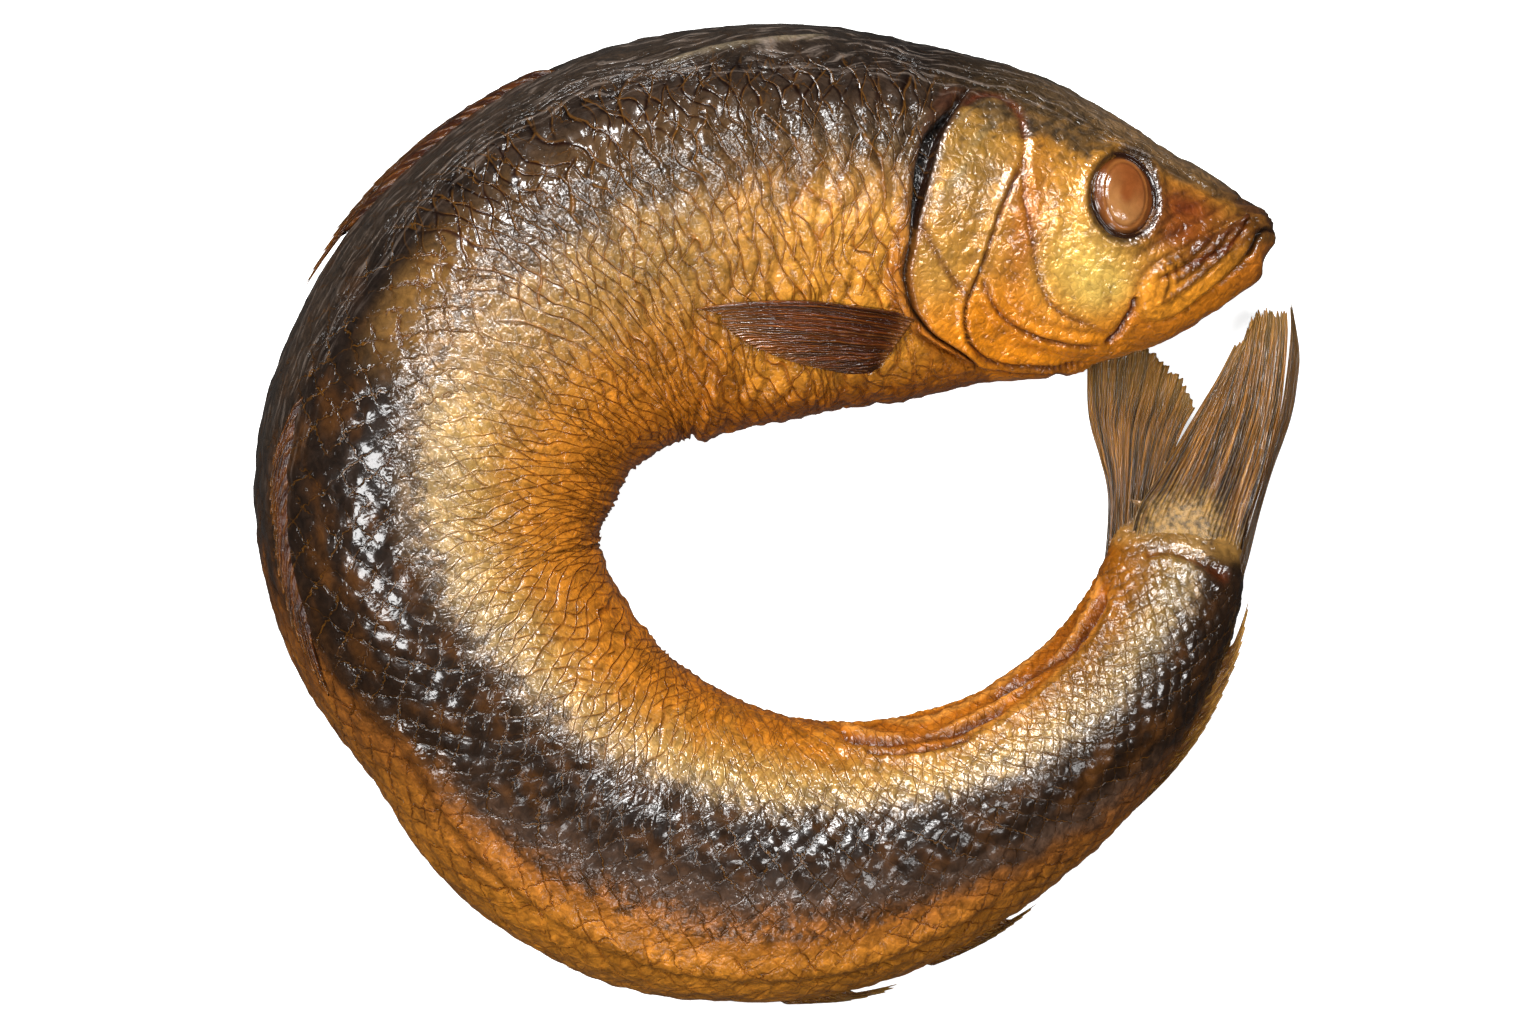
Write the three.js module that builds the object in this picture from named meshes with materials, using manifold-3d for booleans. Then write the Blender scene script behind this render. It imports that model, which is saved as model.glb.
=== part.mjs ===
// A whole smoked fish, curled nose over tail and lying on one flank.
// Millimetres, +Z up. The long side of the curl runs along X, the fish's back is on the outside of the curl,
// and the origin is under the middle of the object, on the surface that it lies on.
import * as THREE from "three";
import { mergeVertices } from "three/addons/utils/BufferGeometryUtils.js";
import Module from "manifold-3d";

const wasm = await Module();
wasm.setup();

// The body from the snout to the root of the tail fin. Each station has the place of its middle
// (x, y, height over the surface), and half its width seen from above and half its thickness.
const STATIONS = [
  { x: 77.3, y: 42.3, height: 13.5, half: 0.3, thick: 0.3 },
  { x: 75.0, y: 42.6, height: 13.5, half: 4.7, thick: 3.4 },
  { x: 71.5, y: 42.1, height: 13.6, half: 7.8, thick: 5.4 },
  { x: 65.3, y: 41.9, height: 13.8, half: 12.0, thick: 8.2 },
  { x: 56.0, y: 41.8, height: 14.2, half: 16.9, thick: 11.8 },
  { x: 43.6, y: 43.0, height: 14.8, half: 22.2, thick: 15.2 },
  { x: 31.2, y: 44.8, height: 15.8, half: 25.3, thick: 17.6 },
  { x: 18.8, y: 45.3, height: 17.2, half: 28.0, thick: 19.6 },
  { x: 3.3, y: 45.5, height: 19.0, half: 30.2, thick: 21.6 },
  { x: -13.5, y: 43.4, height: 20.0, half: 31.0, thick: 22.6 },
  { x: -30.5, y: 37.1, height: 20.5, half: 30.2, thick: 23.0 },
  { x: -45.6, y: 23.5, height: 20.5, half: 28.6, thick: 23.0 },
  { x: -53.2, y: 6.0, height: 20.5, half: 27.8, thick: 23.0 },
  { x: -52.2, y: -11.5, height: 20.2, half: 25.9, thick: 22.6 },
  { x: -43.3, y: -27.7, height: 19.6, half: 24.2, thick: 22.0 },
  { x: -33.1, y: -40.5, height: 19.0, half: 24.6, thick: 21.4 },
  { x: -18.4, y: -49.6, height: 18.2, half: 24.2, thick: 20.4 },
  { x: -2.9, y: -53.5, height: 17.0, half: 22.6, thick: 19.0 },
  { x: 12.6, y: -52.7, height: 15.5, half: 20.4, thick: 17.4 },
  { x: 26.0, y: -48.1, height: 13.8, half: 17.9, thick: 15.4 },
  { x: 39.3, y: -40.3, height: 11.8, half: 15.4, thick: 13.0 },
  { x: 50.6, y: -30.1, height: 9.9, half: 13.4, thick: 11.0 },
  { x: 57.9, y: -19.2, height: 8.2, half: 12.0, thick: 8.8 },
  { x: 61.4, y: -10.0, height: 7.0, half: 11.1, thick: 6.2 },
  { x: 62.9, y: 1.0, height: 5.8, half: 9.6, thick: 1.0 },
];
const BACK_FULLNESS = 0.12; // how much thicker each section is towards the back
const ORIGIN = { x: -0.2, y: -0.1 }; // the middle of the object's outline, in the stations' frame

// Rings of the body are this far apart along the backbone, close together on the head and its folds.
const BODY_RINGS = [
  { until: 14, step: 2.0 },
  { until: 62, step: 3.2 },
  { until: 102, step: 2.5 },
  { until: 290, step: 5.6 },
  { until: 330, step: 4.0 },
];
const BODY_SIDES = 28;

// Skin that the curl presses into folds behind the gill cover.
const SHOULDER_FOLDS = { from: 62, to: 102, pitch: 8, depth: 0.45, sway: 3 };
// The ridge of skin along the outside of the curl, where the flank behind the back is pinched.
const FLANK_FOLD = { from: 168, to: 262, angle: 0.28, width: 0.2, depth: 0.7 };

// Paths on the skin: each point is [mm along the backbone, share of the half width towards the back].
const GILL_EDGE = [[50.2, 0.69], [53.2, 0.47], [56.1, 0.01], [57.8, -0.31], [54.9, -0.61], [45.6, -0.79]];
const GILL_GAP = [[51.6, 0.7], [55.0, 0.44], [57.3, 0.0], [58.6, -0.3], [56.2, -0.58], [49.0, -0.79]];
const SHOULDER_SKIN = [[50.0, 0.8], [56.8, 0.5], [59.4, 0.05], [60.4, -0.31], [58.0, -0.62], [50.0, -0.86]];
const CHEEK_EDGE = [[42.0, 0.6], [42.5, 0.25], [44.8, -0.16], [47.6, -0.5], [45.6, -0.76], [36.0, -0.9]];
const CHEEK_LINE = [[40.8, 0.31], [39.8, 0.15], [37.9, -0.08], [35.6, -0.37], [32.0, -0.56], [26.5, -0.71]];
const LIP_UPPER = [[4.6, 0.66], [8.7, 0.26], [13.8, -0.05], [18.4, -0.2], [21.6, -0.38]];
const LIP_LOWER = [[3.4, -0.05], [7.5, -0.5], [12.4, -0.72], [17.4, -0.79], [21.4, -0.6]];
const JAW_CREASE = [[21.8, -0.56], [22.9, -0.7], [25.6, -0.86]];
const THROAT_CREASE = [[53.3, -0.71], [46.0, -0.86], [36.0, -0.96]];
const BELLY_CUTS = [
  [[250, -0.87], [260, -0.74], [270, -0.62], [279, -0.56]],
  [[252, -1.0], [270, -0.9], [292, -0.84], [312, -0.8]],
];

const MOUTH_GAP = 0.5;
const EYE = { at: 24.3, up: 0.4, along: 5.0, across: 6.2, rise: 1.3 };
const EYE_SOCKET = { along: 5.9, across: 6.9, depth: 1.0 };
const GILL_COVER_RISE = 0.9;
const LIP_RISE = 0.7;
const SUNK = 0.3; // how far the thin edge of a plate goes under the skin

// The shoulder fin lies back along the flank. Its edges are paths on the skin, from its root to its tip.
const SHOULDER_FIN = {
  upper: [[56.4, -0.53], [62.8, -0.5], [76.0, -0.42], [89.5, -0.36]],
  lower: [[61.2, -0.8], [69.0, -0.79], [78.0, -0.64], [87.8, -0.45]],
  lift: 1.5,
};

// Thin fins that lie folded against the body. A fin's edge trails its root by sweep as it rises.
const FOLDED_FINS = [
  { from: 103, to: 129, angle: 0.06, rise: 2.9, sweep: 7 },
  { from: 146, to: 170, angle: 0.72, rise: 1.6, sweep: 6 },
  { from: 241, to: 247, angle: -0.12, rise: 2.6, sweep: 5 },
  { from: 256, to: 268, angle: 0.1, rise: 1.9, sweep: 5 },
  { from: 290, to: 315, angle: 0.05, rise: 2.4, sweep: 5 },
];

// The two lobes of the tail fin, each between two edges that run from the tail's root to its tip.
const TAIL_LOBES = [
  {
    near: [[50.4, -11.0], [51.2, 3.0], [48.6, 15.0], [48.3, 27.6]],
    far: [[60.5, -9.0], [59.4, 3.0], [62.2, 10.9], [65.5, 16.4]],
    bulge: [2.6, 3.4],
    height: [6.8, 3.2],
  },
  {
    near: [[54.2, -9.0], [57.0, 2.6], [63.6, 13.2], [71.2, 26.5]],
    far: [[71.0, -13.6], [75.4, 1.5], [80.1, 16.0], [80.9, 25.0], [79.4, 33.6]],
    bulge: [0.4, 1.6],
    height: [7.4, 6.2],
  },
];
const FIN_RAY = 1.1; // thickness of a fin at a ray
const FIN_WEB = 0.7; // and between two rays
const FIN_ROOT = 1.2; // how deep a folded fin is set in the skin

const SKIN_LOOKS = { color: 0x9a6a2c, roughness: 0.38, metalness: 0.1 };

/** A smooth curve through rows of two or three numbers. */
function curve(rows) {
  const points = rows.map(([a, b, c = 0]) => new THREE.Vector3(a, b, c));
  return new THREE.CatmullRomCurve3(points, false, "catmullrom", 0.5);
}
const backbone = curve(STATIONS.map((p) => [p.x - ORIGIN.x, p.y - ORIGIN.y, p.height]));
const girth = curve(STATIONS.map((p) => [p.half, p.thick]));

const SPINE_STEPS = 1200;
const spine = [{ u: 0, s: 0 }];
for (let i = 1, last = backbone.getPoint(0); i <= SPINE_STEPS; i++) {
  const point = backbone.getPoint(i / SPINE_STEPS);
  spine.push({ u: i / SPINE_STEPS, s: spine[i - 1].s + Math.hypot(point.x - last.x, point.y - last.y) });
  last = point;
}
const bodyLength = spine[SPINE_STEPS].s;

const clamp = THREE.MathUtils.clamp;
const smooth = THREE.MathUtils.smoothstep;
const rise = (x, from, to, ease) => smooth(x, from, from + ease) * (1 - smooth(x, to - ease, to));

/** The station at s mm along the backbone: its middle, direction, half width and half thickness. */
function stationAt(s) {
  const reach = clamp(s, 0, bodyLength);
  const next = clamp(spine.findIndex((p) => p.s >= reach), 1, SPINE_STEPS);
  const a = spine[next - 1];
  const b = spine[next];
  const u = THREE.MathUtils.lerp(a.u, b.u, (reach - a.s) / (b.s - a.s));
  const size = girth.getPoint(u);
  const along = backbone.getPoint(Math.min(u + 1e-3, 1)).sub(backbone.getPoint(Math.max(u - 1e-3, 0)));
  return { middle: backbone.getPoint(u), along: along.setZ(0).normalize(), half: size.x, thick: size.y };
}

/** How far the folds of the skin stand over its plain surface. */
function foldHeight(s, angle) {
  const shoulder = SHOULDER_FOLDS;
  const wave = Math.sin((2 * Math.PI * (s + shoulder.sway * Math.sin(2 * angle))) / shoulder.pitch);
  const flank = Math.exp(-(((angle - FLANK_FOLD.angle) / FLANK_FOLD.width) ** 2));
  return (
    shoulder.depth * wave * rise(s, shoulder.from, shoulder.to, 10) +
    FLANK_FOLD.depth * flank * rise(s, FLANK_FOLD.from, FLANK_FOLD.to, 24)
  );
}

/** The plain skin at s, with the angle round the section from the back (0) over the top to the belly (pi). */
function plainSkin(s, angle) {
  const { middle, along, half, thick } = stationAt(s);
  const outward = half * Math.cos(angle);
  const upward = thick * Math.sin(angle) * (1 + BACK_FULLNESS * Math.cos(angle));
  return new THREE.Vector3(middle.x + along.y * outward, middle.y - along.x * outward, middle.z + upward);
}

/** A point lift mm off the skin. */
function skin(s, angle, lift = 0) {
  const step = 1e-2;
  const lengthwise = plainSkin(s + step, angle).sub(plainSkin(s - step, angle));
  const around = plainSkin(s, angle + step).sub(plainSkin(s, angle - step));
  const normal = lengthwise.cross(around).normalize();
  const point = plainSkin(s, angle).addScaledVector(normal, lift);
  return { point, normal, around: around.normalize() };
}

/** The angle of a share of the half width, on the side that shows (1) or the side underneath (-1). */
const angleOf = (share, side) => side * Math.acos(clamp(share, -1, 1));

/** A closed solid from rows of points that go round it, with both ends drawn in to a point. */
function loft(rings) {
  const sides = rings[0].length;
  const points = rings.flat();
  const middleOf = (ring) => ring.reduce((sum, p) => sum.add(p), new THREE.Vector3()).divideScalar(sides);
  const first = points.push(middleOf(rings[0])) - 1;
  const last = points.push(middleOf(rings.at(-1))) - 1;
  const faces = [];
  for (let i = 0; i < sides; i++) {
    const j = (i + 1) % sides;
    for (let k = 0; k + 1 < rings.length; k++) {
      const [a, b, c, d] = [k * sides + i, k * sides + j, (k + 1) * sides + i, (k + 1) * sides + j];
      faces.push(a, b, c, b, d, c);
    }
    const end = (rings.length - 1) * sides;
    faces.push(first, j, i, last, end + i, end + j);
  }
  return solid(points, faces);
}

/** A closed solid between two sheets of points, upper and lower, each (rows + 1) by (columns + 1). */
function slab(rows, columns, upper, lower) {
  const rings = [];
  for (let i = 0; i <= rows; i++) {
    const ring = [];
    for (let j = 0; j <= columns; j++) ring.push(upper(i / rows, j / columns));
    for (let j = columns; j >= 0; j--) ring.push(lower(i / rows, j / columns));
    rings.push(ring);
  }
  return loft(rings);
}

/** A manifold solid from points and faces, turned so that its faces point out. */
function solid(points, faces) {
  const geometry = new THREE.BufferGeometry().setFromPoints(points).setIndex(faces);
  return solidOf(geometry);
}

function solidOf(geometry) {
  geometry.deleteAttribute("normal");
  geometry.deleteAttribute("uv");
  const merged = mergeVertices(geometry, 1e-4);
  const build = (index) =>
    new wasm.Manifold(
      new wasm.Mesh({ numProp: 3, vertProperties: merged.attributes.position.array, triVerts: index }),
    );
  const index = new Uint32Array(merged.index.array);
  const made = build(index);
  return made.volume() < 0 ? build(index.reverse()) : made;
}

function body() {
  const places = [];
  let s = 0.2;
  for (const { until, step } of BODY_RINGS) {
    for (; s < Math.min(until, bodyLength - 0.5); s += step) places.push(s);
  }
  places.push(bodyLength);
  const rings = places.map((at) =>
    Array.from({ length: BODY_SIDES }, (_, i) => {
      const angle = (2 * Math.PI * i) / BODY_SIDES;
      return skin(at, angle > Math.PI ? angle - 2 * Math.PI : angle, foldHeight(at, angle)).point;
    }),
  );
  return loft(rings);
}

/** A rounded bead on the skin along a path, to raise (joined) or to crease (cut) the skin. */
function bead(path, side, { width, height, steps = 9, sides = 6 }) {
  const line = curve(path);
  const place = (share) => {
    const at = line.getPoint(clamp(share, 0, 1));
    return skin(at.x, angleOf(at.y, side));
  };
  const rings = [];
  for (let i = 0; i <= steps; i++) {
    const share = i / steps;
    const { point, normal } = place(share);
    const along = place(share + 0.01).point.sub(place(share - 0.01).point).normalize();
    const across = along.clone().cross(normal).normalize();
    const taper = 0.15 + 0.85 * Math.sqrt(Math.sin(Math.PI * clamp(share, 0, 1)));
    const ring = [];
    for (let j = 0; j < sides; j++) {
      const turn = (2 * Math.PI * j) / sides;
      ring.push(
        point
          .clone()
          .addScaledVector(across, (width / 2) * taper * Math.cos(turn))
          .addScaledVector(normal, height * taper * Math.sin(turn)),
      );
    }
    rings.push(ring);
  }
  return loft(rings);
}

/** A plate on the skin between two paths. It rises to its full height at the second path. */
function plate(front, rear, side, height) {
  const from = curve(front);
  const to = curve(rear);
  const at = (across, down, lift) => {
    const place = from.getPoint(down).lerp(to.getPoint(down), across);
    return skin(place.x, angleOf(place.y, side), lift).point;
  };
  const bulge = (down) => Math.sin(Math.PI * (0.08 + 0.84 * down));
  const crown = (across, down) => (height + SUNK) * Math.sqrt(across * bulge(down));
  return slab(4, 6, (a, d) => at(a, d, crown(a, d) - SUNK), (a, d) => at(a, d, -1.2));
}

/** An ellipsoid at the eye, with its middle lift mm off the skin. */
function eyeball(side, lift, along, across, thickness) {
  const { point, normal, around } = skin(EYE.at, angleOf(EYE.up, side), lift);
  const lengthwise = around.clone().cross(normal);
  const geometry = new THREE.SphereGeometry(1, 16, 8);
  geometry.applyMatrix4(new THREE.Matrix4().makeScale(along, thickness, across));
  geometry.applyMatrix4(new THREE.Matrix4().makeBasis(lengthwise, normal, around));
  geometry.translate(point.x, point.y, point.z);
  return solidOf(geometry);
}

/** How thick a fin is across its rays. */
const finThickness = (share, rays) => (Math.round(share * rays * 2) % 2 ? FIN_RAY : FIN_WEB);

function shoulderFin(side) {
  const upper = curve(SHOULDER_FIN.upper);
  const lower = curve(SHOULDER_FIN.lower);
  const at = (out, across, lift) => {
    const place = upper.getPoint(out).lerp(lower.getPoint(out), across);
    return skin(place.x, angleOf(place.y, side), lift).point;
  };
  const lift = (out) => SHOULDER_FIN.lift * (0.75 + 0.25 * Math.cos(3 * out));
  const top = (out, across) => at(out, across, lift(out) + 0.3 * finThickness(across, 4));
  return slab(6, 8, top, (out, across) => at(out, across, -0.4));
}

/** A thin fin that stands off the skin at an angle of the section and trails towards the tail. */
function foldedFin({ from, to, angle, rise: reach, sweep }) {
  const at = (share, up, offset) => {
    const height = reach * (0.55 + 0.45 * Math.sin(Math.PI * (0.15 + 0.75 * share)));
    const place = from + (to - from) * share + sweep * up;
    const { point, around } = skin(place, angle, height * up - FIN_ROOT * (1 - up));
    return point.addScaledVector(around, offset);
  };
  const half = (up) => (FIN_RAY * (1 - 0.4 * up)) / 2;
  return slab(6, 1, (share, up) => at(share, up, half(up)), (share, up) => at(share, up, -half(up)));
}

function tailLobe({ near, far, bulge, height }) {
  const left = curve(near);
  const right = curve(far);
  const at = (across, out, offset) => {
    const place = left.getPoint(out).lerp(right.getPoint(out), across);
    const bow = Math.sin(Math.PI * across) * out * out;
    const lift = THREE.MathUtils.lerp(height[0], height[1], out);
    return new THREE.Vector3(
      place.x - ORIGIN.x + bulge[0] * bow,
      place.y - ORIGIN.y + bulge[1] * bow,
      lift + offset,
    );
  };
  const half = (across, out) => finThickness(across, 7) / 2 + 1.2 * (1 - out) ** 3;
  return slab(14, 6, (a, o) => at(a, o, half(a, o)), (a, o) => at(a, o, -half(a, o)));
}

/** The mouth: a thin wall-like cut through the snout along the line between the lips. */
function mouth() {
  const line = curve([[0.6, 0.9], [1.6, 0.42], [3.3, -0.1], [5.6, -0.42]]);
  const at = (out, offset, z) => {
    const place = line.getPoint(out);
    const { middle, along, half } = stationAt(place.x + offset);
    return new THREE.Vector3(middle.x + along.y * half * place.y, middle.y - along.x * half * place.y, z);
  };
  const [low, high] = [3, 24];
  const wall = (offset) => (out, up) => at(out, offset, low + (high - low) * up);
  return slab(5, 1, wall(MOUTH_GAP / 2), wall(-MOUTH_GAP / 2));
}

/** Everything under the surface that the fish lies on. */
function underground() {
  const depth = 20;
  const box = new THREE.BoxGeometry(400, 400, depth);
  box.translate(0, 0, -depth / 2);
  return solidOf(box);
}

function fish() {
  let made = body();
  for (const side of [1, -1]) {
    made = made
      .add(bead(SHOULDER_SKIN, side, { width: 3.2, height: 0.8 }))
      .subtract(bead(GILL_GAP, side, { width: 1.9, height: 2.6 }))
      .add(plate(CHEEK_EDGE, GILL_EDGE, side, GILL_COVER_RISE))
      .add(bead(CHEEK_EDGE, side, { width: 2.2, height: 0.9 }))
      .add(plate(LIP_UPPER, LIP_LOWER, side, LIP_RISE))
      .subtract(eyeball(side, 0, EYE_SOCKET.along, EYE_SOCKET.across, EYE_SOCKET.depth))
      .add(eyeball(side, -EYE_SOCKET.depth, EYE.along, EYE.across, EYE.rise + EYE_SOCKET.depth))
      .add(shoulderFin(side));
  }
  made = made
    .subtract(bead(CHEEK_LINE, 1, { width: 1.4, height: 0.6 }))
    .subtract(bead(JAW_CREASE, 1, { width: 1.2, height: 0.8, steps: 5 }))
    .subtract(bead(THROAT_CREASE, 1, { width: 1.2, height: 0.7, steps: 6 }))
    .subtract(mouth());
  for (const cut of BELLY_CUTS) made = made.subtract(bead(cut, 1, { width: 2, height: 1.2 }));
  for (const fin of FOLDED_FINS) made = made.add(foldedFin(fin));
  for (const lobe of TAIL_LOBES) made = made.add(tailLobe(lobe));
  return largest(made.subtract(underground()));
}

/** The one body, without the sealed slivers that joins can leave in it. */
function largest(made) {
  return made.decompose().reduce((best, piece) => (piece.volume() > best.volume() ? piece : best));
}

function meshOf(name, made, looks) {
  const { numProp, vertProperties, triVerts } = made.getMesh();
  if (numProp !== 3) throw new Error("a solid carries more than its positions");
  const geometry = new THREE.BufferGeometry();
  geometry.setAttribute("position", new THREE.BufferAttribute(vertProperties, 3));
  geometry.setIndex(new THREE.BufferAttribute(triVerts, 1));
  geometry.computeVertexNormals();
  const mesh = new THREE.Mesh(geometry, new THREE.MeshStandardMaterial(looks));
  mesh.name = name;
  return mesh;
}

const group = new THREE.Group();
group.add(meshOf("smoked_fish", fish(), SKIN_LOOKS));

export default group;
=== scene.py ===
# A whole smoked fish, curled nose over tail and lying on one flank.
# Sizes are in millimetres unless a name says metres; meshes are turned into metres as they are made.
import math
from types import SimpleNamespace

import bpy
import numpy as np
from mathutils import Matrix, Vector


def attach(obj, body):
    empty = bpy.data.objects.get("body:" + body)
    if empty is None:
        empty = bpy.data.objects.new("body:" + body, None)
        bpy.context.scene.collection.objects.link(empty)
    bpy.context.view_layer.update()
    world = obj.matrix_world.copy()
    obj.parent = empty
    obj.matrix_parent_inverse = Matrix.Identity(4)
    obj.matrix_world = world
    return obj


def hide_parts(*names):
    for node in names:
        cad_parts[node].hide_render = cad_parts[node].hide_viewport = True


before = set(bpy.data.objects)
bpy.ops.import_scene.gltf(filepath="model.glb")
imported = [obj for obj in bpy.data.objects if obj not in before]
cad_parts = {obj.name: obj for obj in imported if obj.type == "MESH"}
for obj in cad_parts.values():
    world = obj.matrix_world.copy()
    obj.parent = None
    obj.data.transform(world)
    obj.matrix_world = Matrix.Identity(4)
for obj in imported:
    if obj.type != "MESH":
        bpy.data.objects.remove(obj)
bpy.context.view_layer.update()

MM = 0.001
BODY = "root"
NODE = "smoked_fish"

# The body from the snout to the root of the tail fin: x, y and height of its middle, then its half width and
# half thickness.
STATIONS = np.array([
    [77.3, 42.3, 13.5, 0.3, 0.3],
    [75, 42.6, 13.5, 4.7, 3.4],
    [71.5, 42.1, 13.6, 7.8, 5.4],
    [65.3, 41.9, 13.8, 12, 8.2],
    [56, 41.8, 14.2, 16.9, 11.8],
    [43.6, 43, 14.8, 22.2, 15.2],
    [31.2, 44.8, 15.8, 25.3, 17.6],
    [18.8, 45.3, 17.2, 28, 19.6],
    [3.3, 45.5, 19, 30.2, 21.6],
    [-13.5, 43.4, 20, 31, 22.6],
    [-30.5, 37.1, 20.5, 30.2, 23],
    [-45.6, 23.5, 20.5, 28.6, 23],
    [-53.2, 6, 20.5, 27.8, 23],
    [-52.2, -11.5, 20.2, 25.9, 22.6],
    [-43.3, -27.7, 19.6, 24.2, 22],
    [-33.1, -40.5, 19, 24.6, 21.4],
    [-18.4, -49.6, 18.2, 24.2, 20.4],
    [-2.9, -53.5, 17, 22.6, 19],
    [12.6, -52.7, 15.5, 20.4, 17.4],
    [26, -48.1, 13.8, 17.9, 15.4],
    [39.3, -40.3, 11.8, 15.4, 13],
    [50.6, -30.1, 9.9, 13.4, 11],
    [57.9, -19.2, 8.2, 12, 8.8],
    [61.4, -10, 7, 11.1, 6.2],
    [62.9, 1, 5.8, 9.6, 1],
])
BACK_FULLNESS = 0.12
MAP_MARGIN = 0.001
ORIGIN = np.array([-0.2, -0.1])

# The edges of the dark back: [mm from the snout, share of the half width]. A share is 1 at the outer edge
# seen from above and -1 at the inner edge; over 1 it goes on round the outer edge to the underside.
BACK_INNER = [[0, 0.72], [12, 0.72], [24, 0.82], [42, 0.74], [54, 0.66], [64, 0.58], [90, 0.5], [110, 0.44],
              [131, 0.36], [153, 0.2], [168, 0.06], [186, -0.06], [202, -0.18], [220, -0.28], [251, -0.29],
              [265, -0.14], [281, 0.06], [296, 0.24], [310, 0.38], [322, 0.5], [331, 0.7]]
BACK_OUTER = [[0, 1.3], [110, 1.4], [140, 1.2], [155, 1], [168, 0.78], [186, 0.56], [202, 0.4], [220, 0.26],
              [236, 0.24], [251, 0.3], [265, 0.46], [281, 0.66], [296, 0.86], [310, 1.05], [331, 1.3]]
# The length of a scale, and how many go round the body: [mm from the snout, mm] and [mm, count].
CELL_LENGTH = [[0, 4.4], [62, 4.2], [120, 3.9], [200, 4.1], [250, 3.9], [290, 3.3], [331, 2.6]]
CELLS_ROUND = [[0, 20], [66, 21], [90, 23], [120, 25], [160, 27], [250, 26], [300, 26], [331, 26]]
# The edge of the gill cover and the gap behind it: [degrees round from the back, mm from the snout] and
# [degrees, mm wide]. One ring of the skin's grid follows that edge.
GILL_AT = [[0, 45], [30, 48], [46, 50.4], [62, 53.2], [90, 56.1], [108, 57.8], [120, 56.6], [130, 53.6],
           [142, 47], [155, 42], [180, 40]]
GILL_OPEN = [[0, 0], [44, 0], [52, 0.7], [62, 2], [72, 2.1], [84, 1.2], [97, 0.25], [130, 0.12], [150, 0],
             [180, 0]]
GILL_RING = 52.0

# Lines on the head: each point is [mm from the snout, share of the half width].
CHEEK_RIM = [[41.4, 0.42], [42.5, 0.25], [43.7, 0.06], [44.8, -0.16], [46.2, -0.35], [47.7, -0.5],
             [47.6, -0.63], [45.8, -0.75], [41, -0.85], [34, -0.92], [26, -0.99]]
CHEEK_ARC = [[45.2, -0.34], [43.4, -0.46], [40.8, -0.58], [36.5, -0.69], [31.2, -0.79], [26.1, -0.87]]
CHEEK_FRONT = [[41.9, 0.62], [40.8, 0.31], [39.8, 0.15], [37.9, -0.08], [35.6, -0.37], [33, -0.54],
               [26.5, -0.71]]
COVER_CREASE = [[56.1, -0.01], [53.3, -0.19], [50.2, -0.35], [47.4, -0.45]]
COVER_TOP = [[50.4, 0.66], [48, 0.75], [45.2, 0.77], [42.6, 0.68], [41.6, 0.55]]
THROAT_FOLD = [[55.5, -0.64], [52, -0.74], [45, -0.87], [38, -0.94], [30, -1]]
JAW_CREASE = [[21.6, -0.5], [21.9, -0.61], [22.7, -0.69], [23.7, -0.79], [25.4, -0.87]]
LIP_TOP = [[4.2, 0.62], [6.2, 0.4], [8.7, 0.2], [13.8, -0.05], [18.4, -0.2], [20.8, -0.34]]
LIP_FOLD = [[4.1, 0.5], [6, 0.15], [8.8, -0.11], [14.6, -0.27], [19.4, -0.36]]
LIP_EDGE = [[2.4, 0.24], [3.6, -0.1], [5.6, -0.42], [8.4, -0.6], [12.4, -0.73], [16.4, -0.8], [19.6, -0.77],
            [21.5, -0.62], [21.4, -0.47], [20.8, -0.34]]
MOUTH = [[0.5, 0.75], [1.6, 0.4], [3.2, -0.04], [5, -0.36]]
SNOUT_EDGE = [[26, 0.93], [20, 0.87], [14.5, 0.83], [9.9, 0.7], [5.6, 0.72], [2.5, 0.5]]
LIP_STREAKS = 4.2  # radians for each mm into the lip
# Folds of the body skin.
FLAP_CREASE = [[104, -1.02], [99, -0.9], [95, -0.74], [93, -0.58]]
BELLY_CUT = [[249, -0.9], [256, -0.8], [266.8, -0.66], [278.4, -0.6], [292, -0.62], [304, -0.62],
             [314, -0.7]]
BELLY_DEEP = [[[251, -0.93], [262, -0.86], [274, -0.76], [284, -0.74]],
              [[256, -0.8], [266, -0.7], [276, -0.62]],
              [[282, -0.9], [292, -0.85], [303, -0.78], [312, -0.8]]]
FLANK_CREASE = [[166, 0.86], [186, 0.72], [205, 0.78], [228, 0.84], [250, 0.86], [268, 0.84]]
SHOULDER_RIDGE = [[90, 0.84], [83, 0.88], [76, 0.91], [70, 0.94]]
TAIL_CUT = [[321.3, -0.5], [322.7, -0.21], [322.4, 0.09], [321.4, 0.41], [319.9, 0.8]]

# The eye: its place, half sizes along and across the fish, and the fish's half width there.
EYE = SimpleNamespace(s=24.35, share=0.4, along=5.75, across=6.75, half_width=17.9)

# The shoulder fin in the plan: the rays start along the base and end along the tips.
SHOULDER_FIN = {
    "base": ([20.9, 30.3], [15.3, 23]),
    "bow": ([4, 35.2], [12.4, 22.4]),
    "tips": [[-12.8, 31.7], [-9.2, 30.9], [-8.6, 29.4], [-4.6, 26.4], [1.6, 23.9], [7.6, 22.4]],
}

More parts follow.
